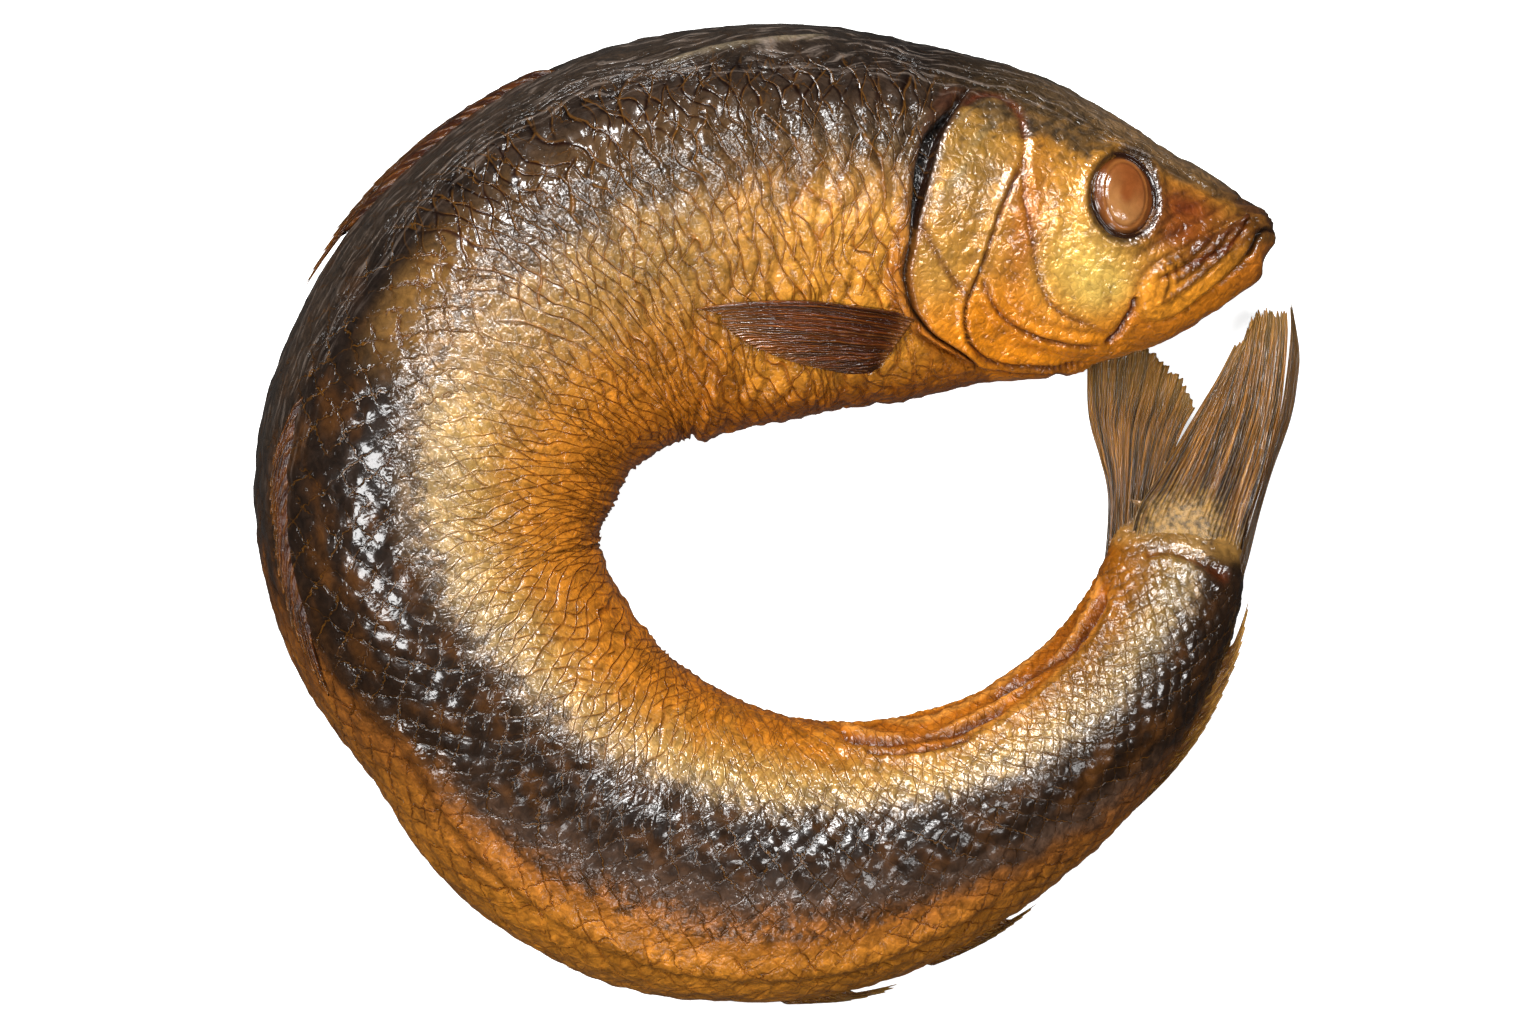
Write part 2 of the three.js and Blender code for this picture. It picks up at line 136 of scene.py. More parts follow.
# The lobes of the tail fin in the plan, each between two edges from root to tip, and a line of ray tips.
# A split is [share across the lobe, half width, depth], all of them shares.
TAIL_LOBES = [
    {"name": "tail_fin_lower", "rays": 17, "height": (6.6, 3.4),
     "splits": [[0.62, 0.02, 0.1], [0.8, 0.015, 0.12]],
     "near": [[50.4, -11], [51.2, -2.3], [51.2, 3.6], [50, 8.8], [48.6, 13.6], [48.1, 18.3], [48.2, 27.6]],
     "far": [[60.5, -9], [58.6, -1.1], [60.6, 6.7], [63, 12.9], [65, 16.4]],
     "tips": [[48.2, 27.6], [54, 27.2], [58.8, 25.2], [61.2, 23], [63.6, 20.6], [65, 16.4]]},
    {"name": "tail_fin_upper", "rays": 23, "height": (7.4, 6.4),
     "splits": [[0.2, 0.025, 0.3], [0.33, 0.012, 0.14], [0.6, 0.015, 0.16], [0.83, 0.012, 0.12]],
     "near": [[54.2, -9], [55.6, -0.3], [58.7, 5.1], [62.2, 10.9], [65.5, 16.4], [68.4, 21.2], [71, 26.2]],
     "far": [[70.2, -12.6], [72, -6.5], [73.9, 0.2], [76, 7], [78, 15.2], [78.8, 21.4], [79.3, 27.6],
             [79.2, 31.6]],
     "tips": [[71, 26.2], [72.6, 27.8], [73.4, 30.4], [75, 32.2], [77, 32], [79.2, 31.6]]},
    {"name": "tail_fin_edge", "rays": 5, "height": (7.6, 6.6), "splits": [],
     "near": [[69.6, -13], [71.8, -7], [73.8, -0.3], [75.9, 6.7], [78.1, 15.7], [79.1, 21.9], [79.7, 28.4],
              [79.6, 32.6]],
     "far": [[71.2, -13.6], [73.1, -7.4], [74.8, -0.6], [76.8, 6.2], [79.7, 14.4], [80.8, 20.3],
             [81.1, 25.4], [79.8, 33.4]],
     "tips": [[79.6, 32.6], [79.7, 33.2], [79.8, 33.4]]},
]

# Thin fins folded against the body, with rays that trail towards the tail: name, root from and to (mm from
# the snout), root share, lean towards the edge, length, rise off the skin, rays and raggedness.
FOLDED_FINS = [
    ("back_fin", 101, 124, 0.985, 0.05, 13, 2.0, 15, 0.25),
    ("back_fin_rear", 143, 166, 0.8, 0.08, 9, 0.9, 15, 0.3),
    ("belly_fin_tip", 238, 246, 1.0, 0.05, 8, 1.7, 6, 0.4),
    ("small_fin", 255, 266, 1.0, 0.05, 6, 1.2, 8, 0.2),
    ("rear_fin", 287, 311, 1.0, 0.05, 8, 1.9, 14, 0.12),
]

# Flank colours at stops from the edge of the dark back outwards, on the belly's side and on the far side.
FLANK_STOPS = [0, 0.08, 0.2, 0.36, 0.56, 0.78, 1.0]
FLANK_NEAR = ["3a2a1a", "655038", "90764c", "98763c", "966626", "9a5e18", "92520e"]
FLANK_FAR = ["3a2412", "86501e", "ae6e22", "ba7826", "bc7c2a", "b2742a", "a0621c"]
HEAD_TINT = np.array([0.88, 0.81, 0.56])


# Small number functions

def smooth(x, low, high):
    """0 up to low and 1 from high on, with soft bends."""
    t = np.clip((np.asarray(x, float) - low) / (high - low), 0, 1)
    return t * t * (3 - 2 * t)


def fall(x, low, high):
    """1 up to low and 0 from high on."""
    return 1 - smooth(x, low, high)


def window(x, start, end, ease):
    """1 between start and end, easing to 0 within ease outside them."""
    return smooth(x, start - ease, start) * fall(x, end, end + ease)


def bell(x, middle, width):
    """1 at the middle, falling off over width on both sides."""
    return np.exp(-(((x - middle) / width) ** 2))


def along(table, s):
    """The value of a table of [place, value] rows at s, with smooth bends."""
    rows = np.array(table, float)
    fine = np.linspace(rows[0, 0], rows[-1, 0], 500)
    values = np.interp(fine, rows[:, 0], rows[:, 1])
    width = 15
    weights = np.hanning(2 * width + 1)
    padded = np.pad(values, width, mode="edge")
    return np.interp(s, fine, np.convolve(padded, weights / weights.sum(), "valid"))


def catmull(rows, count):
    """count points on the smooth curve through the rows."""
    rows = np.array(rows, float)
    padded = np.vstack([2 * rows[0] - rows[1], rows, 2 * rows[-1] - rows[-2]])
    u = np.linspace(0, len(rows) - 1, count)
    i = np.clip(u.astype(int), 0, len(rows) - 2)
    f = (u - i)[:, None]
    a, b, c, d = (padded[i + k] for k in range(4))
    return 0.5 * (2 * b + (c - a) * f + (2 * a - 5 * b + 4 * c - d) * f**2 + (3 * b - a - 3 * c + d) * f**3)


def unit(v):
    return v / np.maximum(np.linalg.norm(v, axis=-1, keepdims=True), 1e-9)


class Noise:
    """Seeded smooth noise in three dimensions, about -1 to 1."""

    def __init__(self, seed):
        rng = np.random.default_rng(seed)
        self.order = np.tile(rng.permutation(256), 2)
        slopes = rng.normal(size=(256, 3))
        self.slopes = slopes / np.linalg.norm(slopes, axis=1)[:, None]

    def __call__(self, x, y, z=0.0):
        x, y, z = np.broadcast_arrays(np.asarray(x, float), y, z)
        cell = [np.floor(a).astype(int) for a in (x, y, z)]
        part = [a - c for a, c in zip((x, y, z), cell)]
        ease = [p**3 * (p * (6 * p - 15) + 10) for p in part]
        total = np.zeros(x.shape)
        for corner in np.ndindex(2, 2, 2):
            key, weight = 0, 1.0
            for axis, step in enumerate(corner):
                key = self.order[(key + cell[axis] + step) & 255]
                weight = weight * (ease[axis] if step else 1 - ease[axis])
            slope = self.slopes[key]
            total += weight * sum(slope[..., axis] * (part[axis] - step) for axis, step in enumerate(corner))
        return total * 1.6

    def layers(self, x, y, z=0.0, count=3):
        return sum(self(x * 2**k + 17 * k, y * 2**k, z * 2**k) / 2**k for k in range(count)) / 1.5


noise_a, noise_b, noise_c = Noise(11), Noise(23), Noise(37)


def linear(text):
    """A colour written as rrggbb, in linear light."""
    c = np.array([int(text[i:i + 2], 16) for i in (0, 2, 4)]) / 255
    return np.where(c <= 0.04045, c / 12.92, ((c + 0.055) / 1.055) ** 2.4)


def blend(a, b, share):
    return a * (1 - share) + b * share


def ramp(value, colours):
    """The colour at value between the colours at the flank's stops."""
    return np.stack([np.interp(value, FLANK_STOPS, [linear(c)[k] for c in colours]) for k in range(3)], -1)


def paint(tone, *layers):
    """Mixes layers into the tones, one over the other; each is a mask and a colour."""
    for mask, colour in layers:
        tone = blend(tone, linear(colour), np.clip(mask, 0, 1)[..., None])
    return tone


# The backbone

SPINE = catmull(STATIONS, 2400)
SPINE[:, :2] -= ORIGIN
STEP = np.gradient(SPINE[:, :2], axis=0)
SPINE_S = np.r_[0, np.cumsum(np.hypot(*np.diff(SPINE[:, :2], axis=0).T))]
SPINE_T = STEP / np.hypot(*STEP.T)[:, None]
LENGTH = SPINE_S[-1]


def station(s):
    """Middle (x, y, z), direction (x, y), half width and half thickness at s."""
    cols = [np.interp(s, SPINE_S, SPINE[:, k]) for k in range(5)]
    tx, ty = (np.interp(s, SPINE_S, SPINE_T[:, k]) for k in range(2))
    size = np.hypot(tx, ty)
    return cols[:3], (tx / size, ty / size), cols[3], cols[4]


def plain_skin(s, angle):
    """The plain surface; angle goes from the back (0) over the top (pi / 2) to the belly (pi)."""
    (x, y, z), (tx, ty), half, thick = station(s)
    out = half * np.cos(angle)
    up = thick * np.sin(angle) * (1 + BACK_FULLNESS * np.cos(angle))
    return np.stack([x + ty * out, y - tx * out, z + up], -1)


def skin_frame(s, angle):
    """Point, outward normal and the two directions along the surface."""
    e = 1e-2
    lengthwise = plain_skin(s + e, angle) - plain_skin(s - e, angle)
    around = plain_skin(s, angle + e) - plain_skin(s, angle - e)
    return plain_skin(s, angle), unit(np.cross(lengthwise, around)), unit(lengthwise), unit(around)


def locate(x, y):
    """The place on the backbone and the share of the half width of a point in the plan."""
    flat = np.stack([x.ravel(), y.ravel()], -1)
    nearest = np.array([np.argmin(np.hypot(*(SPINE[:, :2] - p).T)) for p in flat])
    t = SPINE_T[nearest]
    offset = (flat[:, 0] - SPINE[nearest, 0]) * t[:, 1] - (flat[:, 1] - SPINE[nearest, 1]) * t[:, 0]
    share = offset / SPINE[nearest, 3]
    return SPINE_S[nearest].reshape(x.shape), share.reshape(x.shape)


# The grid of the skin: rings along the backbone and columns round it, starting and ending underneath

def ring_places():
    spans = [(0.12, 14, 0.32), (14, 51, 0.4), (51, 55.6, 0.17), (55.6, 62, 0.4), (62, LENGTH, 0.69)]
    return np.concatenate([np.arange(a, b, step) for a, b, step in spans] + [[LENGTH]])


def column_angles(count=168, top_weight=2.4):
    """Angles from -90 to 270 degrees, closer together where they can be seen from above and the sides."""
    fine = np.linspace(-math.pi / 2, 3 * math.pi / 2, 4000)
    weight = 1 + (top_weight - 1) * smooth(np.sin(fine), -0.75, -0.35)
    total = np.r_[0, np.cumsum((weight[1:] + weight[:-1]) / 2)]
    return np.interp(np.linspace(0, total[-1], count + 1), total, fine)


RINGS = ring_places()
ANGLES = column_angles()
R, A = np.meshgrid(RINGS, ANGLES, indexing="ij")
DEGREES = np.degrees(np.arccos(np.clip(np.cos(A), -1, 1)))
GILL_S = along(GILL_AT, DEGREES)
S = R + (GILL_S - GILL_RING) * smooth(R, 13, 45) * fall(R, 57, 98)
S = np.minimum(S, LENGTH)
SHARE = np.cos(A)
TOP = np.sin(A) >= 0
_, _, HALF, THICK = station(S)
W = SHARE * HALF
ROUND = np.where(TOP, SHARE, 2 - SHARE)  # goes on past 1 round the outer edge


def arc_length():
    """mm round the section from the middle of the top, and all the way round."""
    piece = np.hypot(np.diff(HALF * np.cos(A), axis=1), np.diff(THICK * np.sin(A), axis=1))
    total = np.concatenate([np.zeros((len(RINGS), 1)), np.cumsum(piece, axis=1)], axis=1)
    middle = np.argmin(np.abs(ANGLES - math.pi / 2))
    return total - total[:, middle:middle + 1], total[:, -1:]


ARC, GIRTH = arc_length()
FAR_AWAY = 99.0


def skin_line(rows, count):
    """The smooth line through rows of [mm, share]: mm from the snout and mm from the backbone."""
    line = catmull(rows, count)
    return np.stack([line[:, 0], line[:, 1] * station(line[:, 0])[2]], -1)


class Path:
    """A line on the head or body; gives each grid point's distance to it in mm and its side."""

    def __init__(self, rows, reach=14):
        line = skin_line(rows, 90)
        self.distance = np.full(S.shape, FAR_AWAY)
        self.side, self.share = np.zeros(S.shape), np.zeros(S.shape)
        low, high = line.min(0) - reach, line.max(0) + reach
        near = (S > low[0]) & (S < high[0]) & (W > low[1]) & (W < high[1])
        gap = np.stack([S[near], W[near]], -1)[:, None, :] - line[None]
        far = np.hypot(gap[..., 0], gap[..., 1])
        best = far.argmin(1)
        each = np.arange(len(best))
        way = np.gradient(line, axis=0)[best]
        off = gap[each, best]
        self.distance[near] = far[each, best]
        self.side[near] = np.sign(way[:, 0] * off[:, 1] - way[:, 1] * off[:, 0])
        self.share[near] = best / (len(line) - 1)
        self.ends = window(self.share, 0.06, 0.94, 0.06)

    def ridge(self, width, shift=0.0):
        """1 on the line, falling to 0 over width, fading at both ends; shift moves it to one side."""
        return bell(self.distance * np.where(self.side == 0, 1, self.side), shift, width) * self.ends


def inside(rows, s, w):
    """True where (s, w) is inside the closed outline through the rows."""
    px, py = skin_line(rows, 160).T
    found = np.zeros(s.shape, bool)
    for i in range(len(px)):
        j = i - 1
        crosses = (py[i] > w) != (py[j] > w)
        reach = (px[j] - px[i]) * (w - py[i]) / (py[j] - py[i] + 1e-12) + px[i]
        found ^= crosses & (s < reach)
    return found


# The scales, the head and the parts of the body that differ. P counts scales along the body and Q round it;
# net lines run where P + Q or P - Q is whole.

def grain(noise, along_body, round_it, layer, count=3):
    """Noise over the skin; its grain is that many mm along the body and round it."""
    return noise.layers(S / along_body, ARC / round_it, layer, count)


def scale_pattern():
    fine = np.linspace(0, LENGTH, 3000)
    count = np.cumsum((fine[1] - fine[0]) / along(CELL_LENGTH, fine))
    wobble = 0.55 + 0.3 * window(S, 55, 105, 15)
    p = np.interp(S, fine, count) + wobble * grain(noise_a, 11, 13, 0.3)
    q = along(CELLS_ROUND, S) * ARC / GIRTH + 0.6 * wobble * grain(noise_b, 12, 10, 7.1)
    return p, q


P, Q = scale_pattern()
# A number between 0 and 1 that is the same all over one scale.
SPOT = np.sin(np.floor(P + Q) * 12.99 + np.floor(P - Q) * 78.23) * 43758.5 % 1
ON_HEAD = fall((S - GILL_S) / (1 + 16 * smooth(SHARE, 0.68, 0.8)), -0.5, 0.6)
FACE = window(SHARE, -0.84, 0.74, 0.08)
BEND = window(S, 104, 205, 26) * smooth(-SHARE, -0.45, 0.7)
SHOULDER = window(S, 62, 104, 12)


def body_relief():
    """How far the body's skin stands over the plain surface, in mm."""
    u, v = P + Q, P - Q
    quilt = (np.abs(np.sin(math.pi * u)) * np.abs(np.sin(math.pi * v))) ** 0.7
    lean = ((u % 1) + (v % 1)) / 2 - 0.5
    depth = 0.26 * window(S, 100, 300, 26) + 0.12 * SHOULDER + 0.2 * smooth(S, 296, 310)
    depth = depth * (1 - 0.55 * smooth(SHARE, 0.72, 0.9) * fall(S, 130, 160))
    depth = depth * (1 - 0.45 * BEND) * smooth(S - GILL_S, 1, 6) * fall(S, 318, 324)
    row = window(S, 120, 300, 16) * window(SHARE, -0.4, 0.5, 0.16)
    relief = depth * (1 - 0.1 * row) * (quilt - 0.55) + 0.32 * depth * lean

    wavy = S / 4.4 + 0.9 * noise_b(S / 15, ARC / 11) + 0.35 * noise_c(S / 5, ARC / 7)
    folds = 1 - 2 * np.abs(np.sin(math.pi * wavy)) ** 0.7
    relief -= 0.5 * folds * SHOULDER * window(SHARE, -0.9, 0.66, 0.16)
    across = 1 - np.abs(noise_a.layers(S / 3.0 + 0.1 * ARC, ARC / 22, 5, 2)) * 2.2
    relief += 0.34 * (across - 0.4) * SHOULDER * fall(SHARE, 0.62, 0.8)
    radial = 1 - np.abs(grain(noise_c, 2.7, 20, 2, 2)) * 2.4
    relief -= 0.4 * (radial - 0.4) * BEND
    relief += 0.16 * grain(noise_a, 5, 6, 9) * smooth(S - GILL_S, 0, 4)

    nape = smooth(SHARE, 0.7, 0.88) * window(S, 40, 138, 12)
    relief += 0.2 * nape * grain(noise_b, 8, 1.5, 3)
    relief += 0.9 * grain(noise_c, 30, 24, 4, 2) * smooth(S, 55, 80) * fall(S, 300, 322)

    outer = smooth(ROUND, 0.72, 0.92) * fall(ROUND, 1.5, 1.9) * window(S, 168, 262, 16)
    relief += 0.3 * outer * grain(noise_a, 20, 3.2, 8, 2)
    crease, flap = Path(FLANK_CREASE), Path(FLAP_CREASE)
    relief += TOP * (0.75 * crease.ridge(1.6, -1.6) - 0.75 * crease.ridge(0.7))
    relief += TOP * 0.6 * Path(SHOULDER_RIDGE).ridge(0.35)
    relief += 0.9 * flap.ridge(2.2, 2.0) - 0.9 * flap.ridge(0.6)
    return relief


def belly_cut():
    """The opened belly behind the curl, with ridged folds along the inner edge."""
    edge = Path(BELLY_CUT)
    within = (edge.side < 0) * smooth(edge.distance, 0.1, 1.4) * window(S, 251, 312, 5)
    within = within * TOP * (edge.distance < FAR_AWAY)
    lips = 0.55 * TOP * edge.ridge(0.75, 0.55)
    lines = edge.distance * 2.6 + 1.2 * noise_a(S / 9, ARC / 30)
    folds = (0.35 * np.sin(lines) + 0.15 * np.abs(noise_c(S / 0.9, ARC / 3))) * within
    deep = sum(TOP * Path(rows).ridge(0.65) for rows in BELLY_DEEP)
    relief = lips + folds - 0.4 * within - 1.3 * deep
    return SimpleNamespace(relief=relief, within=within, deep=deep, lines=lines)


def head_form():
    """How far the head's skin stands over the plain surface, in mm, and the parts that its colours need."""
    d = S - GILL_S
    ring = R - GILL_RING  # the grid's rings follow the gill edge
    opening = along(GILL_OPEN, DEGREES)
    relief = 0.95 * smooth(d, -13, -1.5) * fall(ring, -0.05, 0.12)
    relief -= 0.3 * smooth(ring, -0.7, 0.0) * fall(ring, 0.0, 0.12)
    relief -= 2.7 * smooth(opening, 0.05, 0.9) * smooth(ring, 0.0, 0.16) * fall(ring - opening, -0.1, 0.5)
    relief -= 0.9 * bell(ring, 0.25, 0.35) * fall(opening, 0.1, 0.8)
    relief += 0.75 * bell(ring - opening, 1.35, 0.95) - 0.5 * bell(ring - opening, 3.1, 0.8)
    relief *= FACE

    rim, arc, front, throat = (Path(rows) for rows in (CHEEK_RIM, CHEEK_ARC, CHEEK_FRONT, THROAT_FOLD))
    relief += 0.6 * rim.ridge(0.9, 0.75) - 1.1 * rim.ridge(0.34)
    relief += 0.5 * arc.ridge(1.2, -1.0) - 0.9 * arc.ridge(0.36)
    relief += 0.25 * front.ridge(1.4, -1.2) - 0.8 * front.ridge(0.42)
    for rows, depth, width in ((COVER_CREASE, 0.5, 0.42), (COVER_TOP, 0.6, 0.42), (THROAT_FOLD, 0.9, 0.42),
                               (JAW_CREASE, 1.0, 0.42), (MOUTH, 1.1, 0.32), (SNOUT_EDGE, 0.45, 0.5)):
        relief -= depth * Path(rows).ridge(width)
    relief += 0.4 * throat.ridge(1.2, -1.2)

    on_lip = inside(LIP_TOP + LIP_EDGE[::-1], S, W)
    lower, upper, fold = Path(LIP_EDGE), Path(LIP_TOP), Path(LIP_FOLD)
    depth_in = np.where(on_lip, np.minimum(lower.distance, 9), 0)
    relief += 0.75 * smooth(depth_in, 0, 1.1) * (1 - 0.55 * smooth(depth_in, 3, 7))
    relief -= 0.45 * lower.ridge(0.4) + 0.4 * upper.ridge(0.35) + 0.5 * fold.ridge(0.35)
    streaks = np.sin(depth_in * LIP_STREAKS + 2.2 * noise_c(S / 7, W / 30)) * on_lip
    relief += 0.22 * streaks * smooth(depth_in, 1.8, 3)

    rho = np.hypot((S - EYE.s) / EYE.along, (W - EYE.share * EYE.half_width) / EYE.across)
    relief += 0.5 * bell(rho, 1.17, 0.13) - 1.1 * fall(rho, 0.86, 1.03)
    relief -= 0.6 * bell(S, 15.5, 4) * bell(SHARE, 0.52, 0.2)
    brow = smooth(SHARE, 0.72, 0.95) * fall(S, 30, 50)
    relief += 0.16 * brow * grain(noise_b, 6, 1.3, 1, 2)
    relief += 0.3 * grain(noise_c, 2.6, 2.6, 6) * smooth(S, 2, 10)
    striped = np.sin(rim.share * 46 + 2.0 * noise_a(S / 6, W / 6)) * bell(rim.distance, 2.6, 1.8)
    relief += 0.2 * striped * (rim.side < 0) * window(rim.share, 0.02, 0.6, 0.05)
    bands = np.sin(arc.distance * 2.3 + noise_b(S / 9, W / 9)) * bell(arc.distance, 2.4, 2.0)
    relief += 0.2 * bands * smooth(-SHARE, 0.3, 0.5) * window(S, 26, 44, 3)
    nose = window(S, 1.2, 5.5, 1.5) * smooth(SHARE, -0.1, 0.5)
    relief += 0.25 * nose * np.sin(ARC * 3.0)
    return SimpleNamespace(relief=relief, ring=ring, opening=opening, rim=rim, arc=arc, front=front,
                           fold=fold, upper=upper, on_lip=on_lip, depth_in=depth_in, rho=rho)


def skin_tones(head, belly, cut):
    """The colour of each grid point, worked out from where it is on the fish."""
    inner, outer = along(BACK_INNER, S), along(BACK_OUTER, S)
    ragged = 0.09 * grain(noise_a, 6, 5, 2) + 0.05 * noise_b(S / 2, ARC / 3)
    ragged += 0.05 * (SPOT - 0.5) * smooth(S, 95, 125)
    place = ROUND + ragged
    near_flank = np.clip((inner - place) / (inner + 1), 0, 1)
    far_flank = np.clip((place - outer) / (3 - outer), 0, 1)
    side = smooth(place, inner, outer)[..., None]
    tone = blend(ramp(near_flank, FLANK_NEAR), ramp(far_flank, FLANK_FAR), side)

    back = smooth(place, inner - 0.06, inner + 0.1) * fall(place, outer - 0.12, outer + 0.1)
    amber = smooth(grain(noise_c, 7, 4, 1) + 0.25 * SPOT, 0.0, 0.7) * window(S, 150, 300, 30)
    # Greyer along the top edge of the back from 55 to 170 mm: a painted sheen.
    sheen_grey = smooth(SHARE, 0.74, 0.95) * fall(S, 140, 170) * smooth(S, 55, 80)
    tone = paint(
        tone,
        (back, "1d120a"),
        (0.6 * back * fall(S, 135, 175), "15110f"),
        (0.65 * back * amber, "4c2d10"),
        (0.5 * back * sheen_grey, "3b3026"),
        (0.6 * window(S, 60, 82, 10) * window(SHARE, -0.75, 0.25, 0.2), "c2822a"),
        (0.35 * window(S, 110, 200, 25) * smooth(-SHARE, 0.1, 0.9), "a6641a"),
        (0.6 * window(S, 84, 128, 14) * window(SHARE, -0.3, 0.5, 0.2), "7c5829"),
        (0.75 * window(S, 60, 112, 14) * window(SHARE + 2 * ragged, 0.3, 0.6, 0.32), "33261c"),
        # Grey-brown band just outside the dark back: a painted sheen.
        (0.6 * window(S, 205, 285, 18) * bell(place, outer, 0.13), "44342a"),
    )
    tone = tone * (1 - 0.45 * smooth(S, 270, 305) * fall(SHARE, 0.1, 0.4))[..., None]
    tone = paint(
        tone,
        (0.55 * belly.within, "8e4c10"),
        (0.5 * belly.within * smooth(np.sin(belly.lines), 0.1, 0.8), "cf8a3a"),
        (0.9 * np.clip(belly.deep, 0, 1), "42180a"),
        (TOP * 0.9 * cut.ridge(0.8), "4a210a"),
        (0.8 * smooth(S, 321, 325), "84602c"),
        # Lighter line along the raised shoulder ridge: a painted highlight.
        (TOP * 0.5 * Path(SHOULDER_RIDGE).ridge(0.3), "9a8a70"),
    )
    return head_tones(tone, head), np.maximum(near_flank, far_flank), back * (1 - ON_HEAD)


def spot(s, share, reach_s, reach_share):
    """A soft round patch on the skin."""
    return bell(S, s, reach_s) * bell(SHARE, share, reach_share)


def head_tones(tone, head):
    ring, opening, on_lip, depth_in = head.ring, head.opening, head.on_lip, head.depth_in
    mottle = grain(noise_a, 4, 4, 3)
    bands = noise_b.layers((S + 0.7 * W) / 2.6, (S - 0.7 * W) / 14, 4, 3)
    fine = grain(noise_b, 1.3, 1.3, 8)
    speckled = smooth(fine + 2.2 * (SHARE - 0.62), -0.1, 0.5) * smooth(S, 24, 32)
    nape = smooth(SHARE + 0.12 * mottle + 0.12 * window(S, 33, 46, 6), 0.66, 0.78)
    lip_lines = (np.sin(depth_in * LIP_STREAKS) > 0.2) * smooth(depth_in, 1.5, 3)
    skin = paint(
        np.broadcast_to(linear("b98336"), tone.shape),
        (smooth(-SHARE, 0.15, 0.6), "e08a16"),
        (0.8 * spot(30, -0.2, 7, 0.3) + 0.7 * spot(26, -0.42, 5, 0.2), "dcb968"),
        (0.8 * spot(49, 0.4, 7, 0.4), "8f7034"),
        (0.9 * spot(49, 0.25, 5, 0.4) * smooth(bands, 0.0, 0.5), "9a8c74"),
        (0.7 * spot(53, -0.3, 5, 0.22), "c89a52"),
        (0.6 * spot(45, 0.3, 3, 0.25) + 0.4 * spot(50, 0.1, 5, 0.25), "8f6c3c"),
        (0.8 * spot(39.5, 0.0, 3.0, 0.5), "a05a14"),
        (0.75 * smooth(mottle, 0.1, 0.7) * smooth(SHARE, 0.15, 0.55), "5a431a"),
        (0.8 * speckled, "2a1d10"),
        (0.6 * smooth(-mottle, 0.1, 0.7) * window(S, 22, 42, 6), "8a5a1a"),
        (0.95 * spot(14, 0.42, 8, 0.36), "5c2412"),
        (0.9 * spot(15, 0.1, 7, 0.24), "6e3414"),
        (0.85 * nape, "44382e"),
        (0.5 * speckled, "1d150e"),
        # Lighter grey-brown along the top of the head: a painted sheen.
        (0.5 * smooth(SHARE, 0.8, 0.95) * fall(S, 26, 48), "7a6454"),
        (on_lip * 0.85, "cc8830"),
        (0.85 * on_lip * smooth(depth_in, 1.5, 4.5) * fall(S, 12, 19), "4a281a"),
        (0.75 * on_lip * lip_lines, "42220c"),
        (0.85 * fall(S, 2.5, 12), "3a2016"),
        (0.6 * smooth(-SHARE, 0.0, 0.4) * window(S, 3, 20, 4) * (1 - on_lip), "a86422"),
    )
    skin = skin * HEAD_TINT
    for line, strength in ((head.rim, 1.0), (head.arc, 0.85), (head.front, 0.8), (head.fold, 0.8)):
        skin = paint(skin, (strength * line.ridge(0.42), "4a1a05"))
    snout_lines = np.sin(head.upper.distance * 2.6 + noise_a(S / 5, W / 9)) * window(S, 4, 21, 3)
    skin = paint(skin, (0.45 * smooth(snout_lines, 0.2, 0.9) * window(SHARE, -0.2, 0.6, 0.15), "3c180a"))
    for rows, strength in ((COVER_CREASE, 0.8), (THROAT_FOLD, 0.9), (JAW_CREASE, 1.0), (COVER_TOP, 0.8)):
        skin = paint(skin, (strength * Path(rows).ridge(0.55), "4c1a07"))
    skin = paint(
        skin,
        (0.95 * Path(MOUTH).ridge(0.5), "1a0d08"),
        (0.9 * bell(head.rho, 1.02, 0.12), "1a100b"),
        (0.6 * bell(ring, -0.3, 0.5) * FACE, "2a160c"),
    )
    edge = FACE * window(ring, 0.05, 2.6, 1.4)
    gap = FACE * smooth(opening, 0.1, 0.8) * window(ring, 0.12, 1.6, 0.5) * (ring < opening + 0.3)
    return paint(
        blend(tone, skin, ON_HEAD[..., None]),
        (0.75 * edge * smooth(SHARE, -0.3, 0.3), "3a2115"),
        (0.6 * edge * fall(SHARE, -0.3, 0.3), "8a4a18"),
        # The gill gap and the groove just past the cover's edge are painted near-black: painted shadow.
        (gap, "060404"),
        (FACE * 0.9 * bell(ring, 0.2, 0.4), "1c0d07"),
    )


def lay_flat(z, ease=0.5):
    """Heights pressed onto the surface that the fish lies on."""
    return 0.5 * (z + np.sqrt(z * z + ease * ease))


# Meshes and materials

def link_object(name, data):
    made = bpy.data.objects.new(name, data)
    bpy.context.scene.collection.objects.link(made)
    return made


def mesh_object(name, points, faces, material, uvs=None, attributes=None, colour=None):
    """A smooth mesh from points in mm. uvs: {name: one (u, v) for each face corner}."""
    mesh = bpy.data.meshes.new(name)
    mesh.from_pydata((points * MM).tolist(), [], faces)
    for key, values in (uvs or {}).items():
        mesh.uv_layers.new(name=key).data.foreach_set("uv", np.asarray(values, np.float32).ravel())
    for key, values in (attributes or {}).items():
        layer = mesh.attributes.new(key, "FLOAT", "POINT")
        layer.data.foreach_set("value", np.asarray(values, np.float32).ravel())
    if colour is not None:
        four = np.concatenate([colour.reshape(-1, 3), np.ones((len(points), 1))], 1).astype(np.float32)
        mesh.attributes.new("tone", "FLOAT_COLOR", "POINT").data.foreach_set("color", four.ravel())
    mesh.polygons.foreach_set("use_smooth", np.ones(len(mesh.polygons), bool))
    mesh.update()
    mesh.materials.append(material)
    piece = link_object(name, mesh)
    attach(piece, BODY)
    return piece


def grid_faces(rows, columns, wrap):
    """Quads of a grid of points; wrap joins the last column to the first."""
    i, j = np.meshgrid(np.arange(rows - 1), np.arange(columns if wrap else columns - 1), indexing="ij")
    i, j = i.ravel(), j.ravel()
    k = (j + 1) % columns
    quads = np.stack([i * columns + j, (i + 1) * columns + j, (i + 1) * columns + k, i * columns + k], 1)
    return quads, i, j


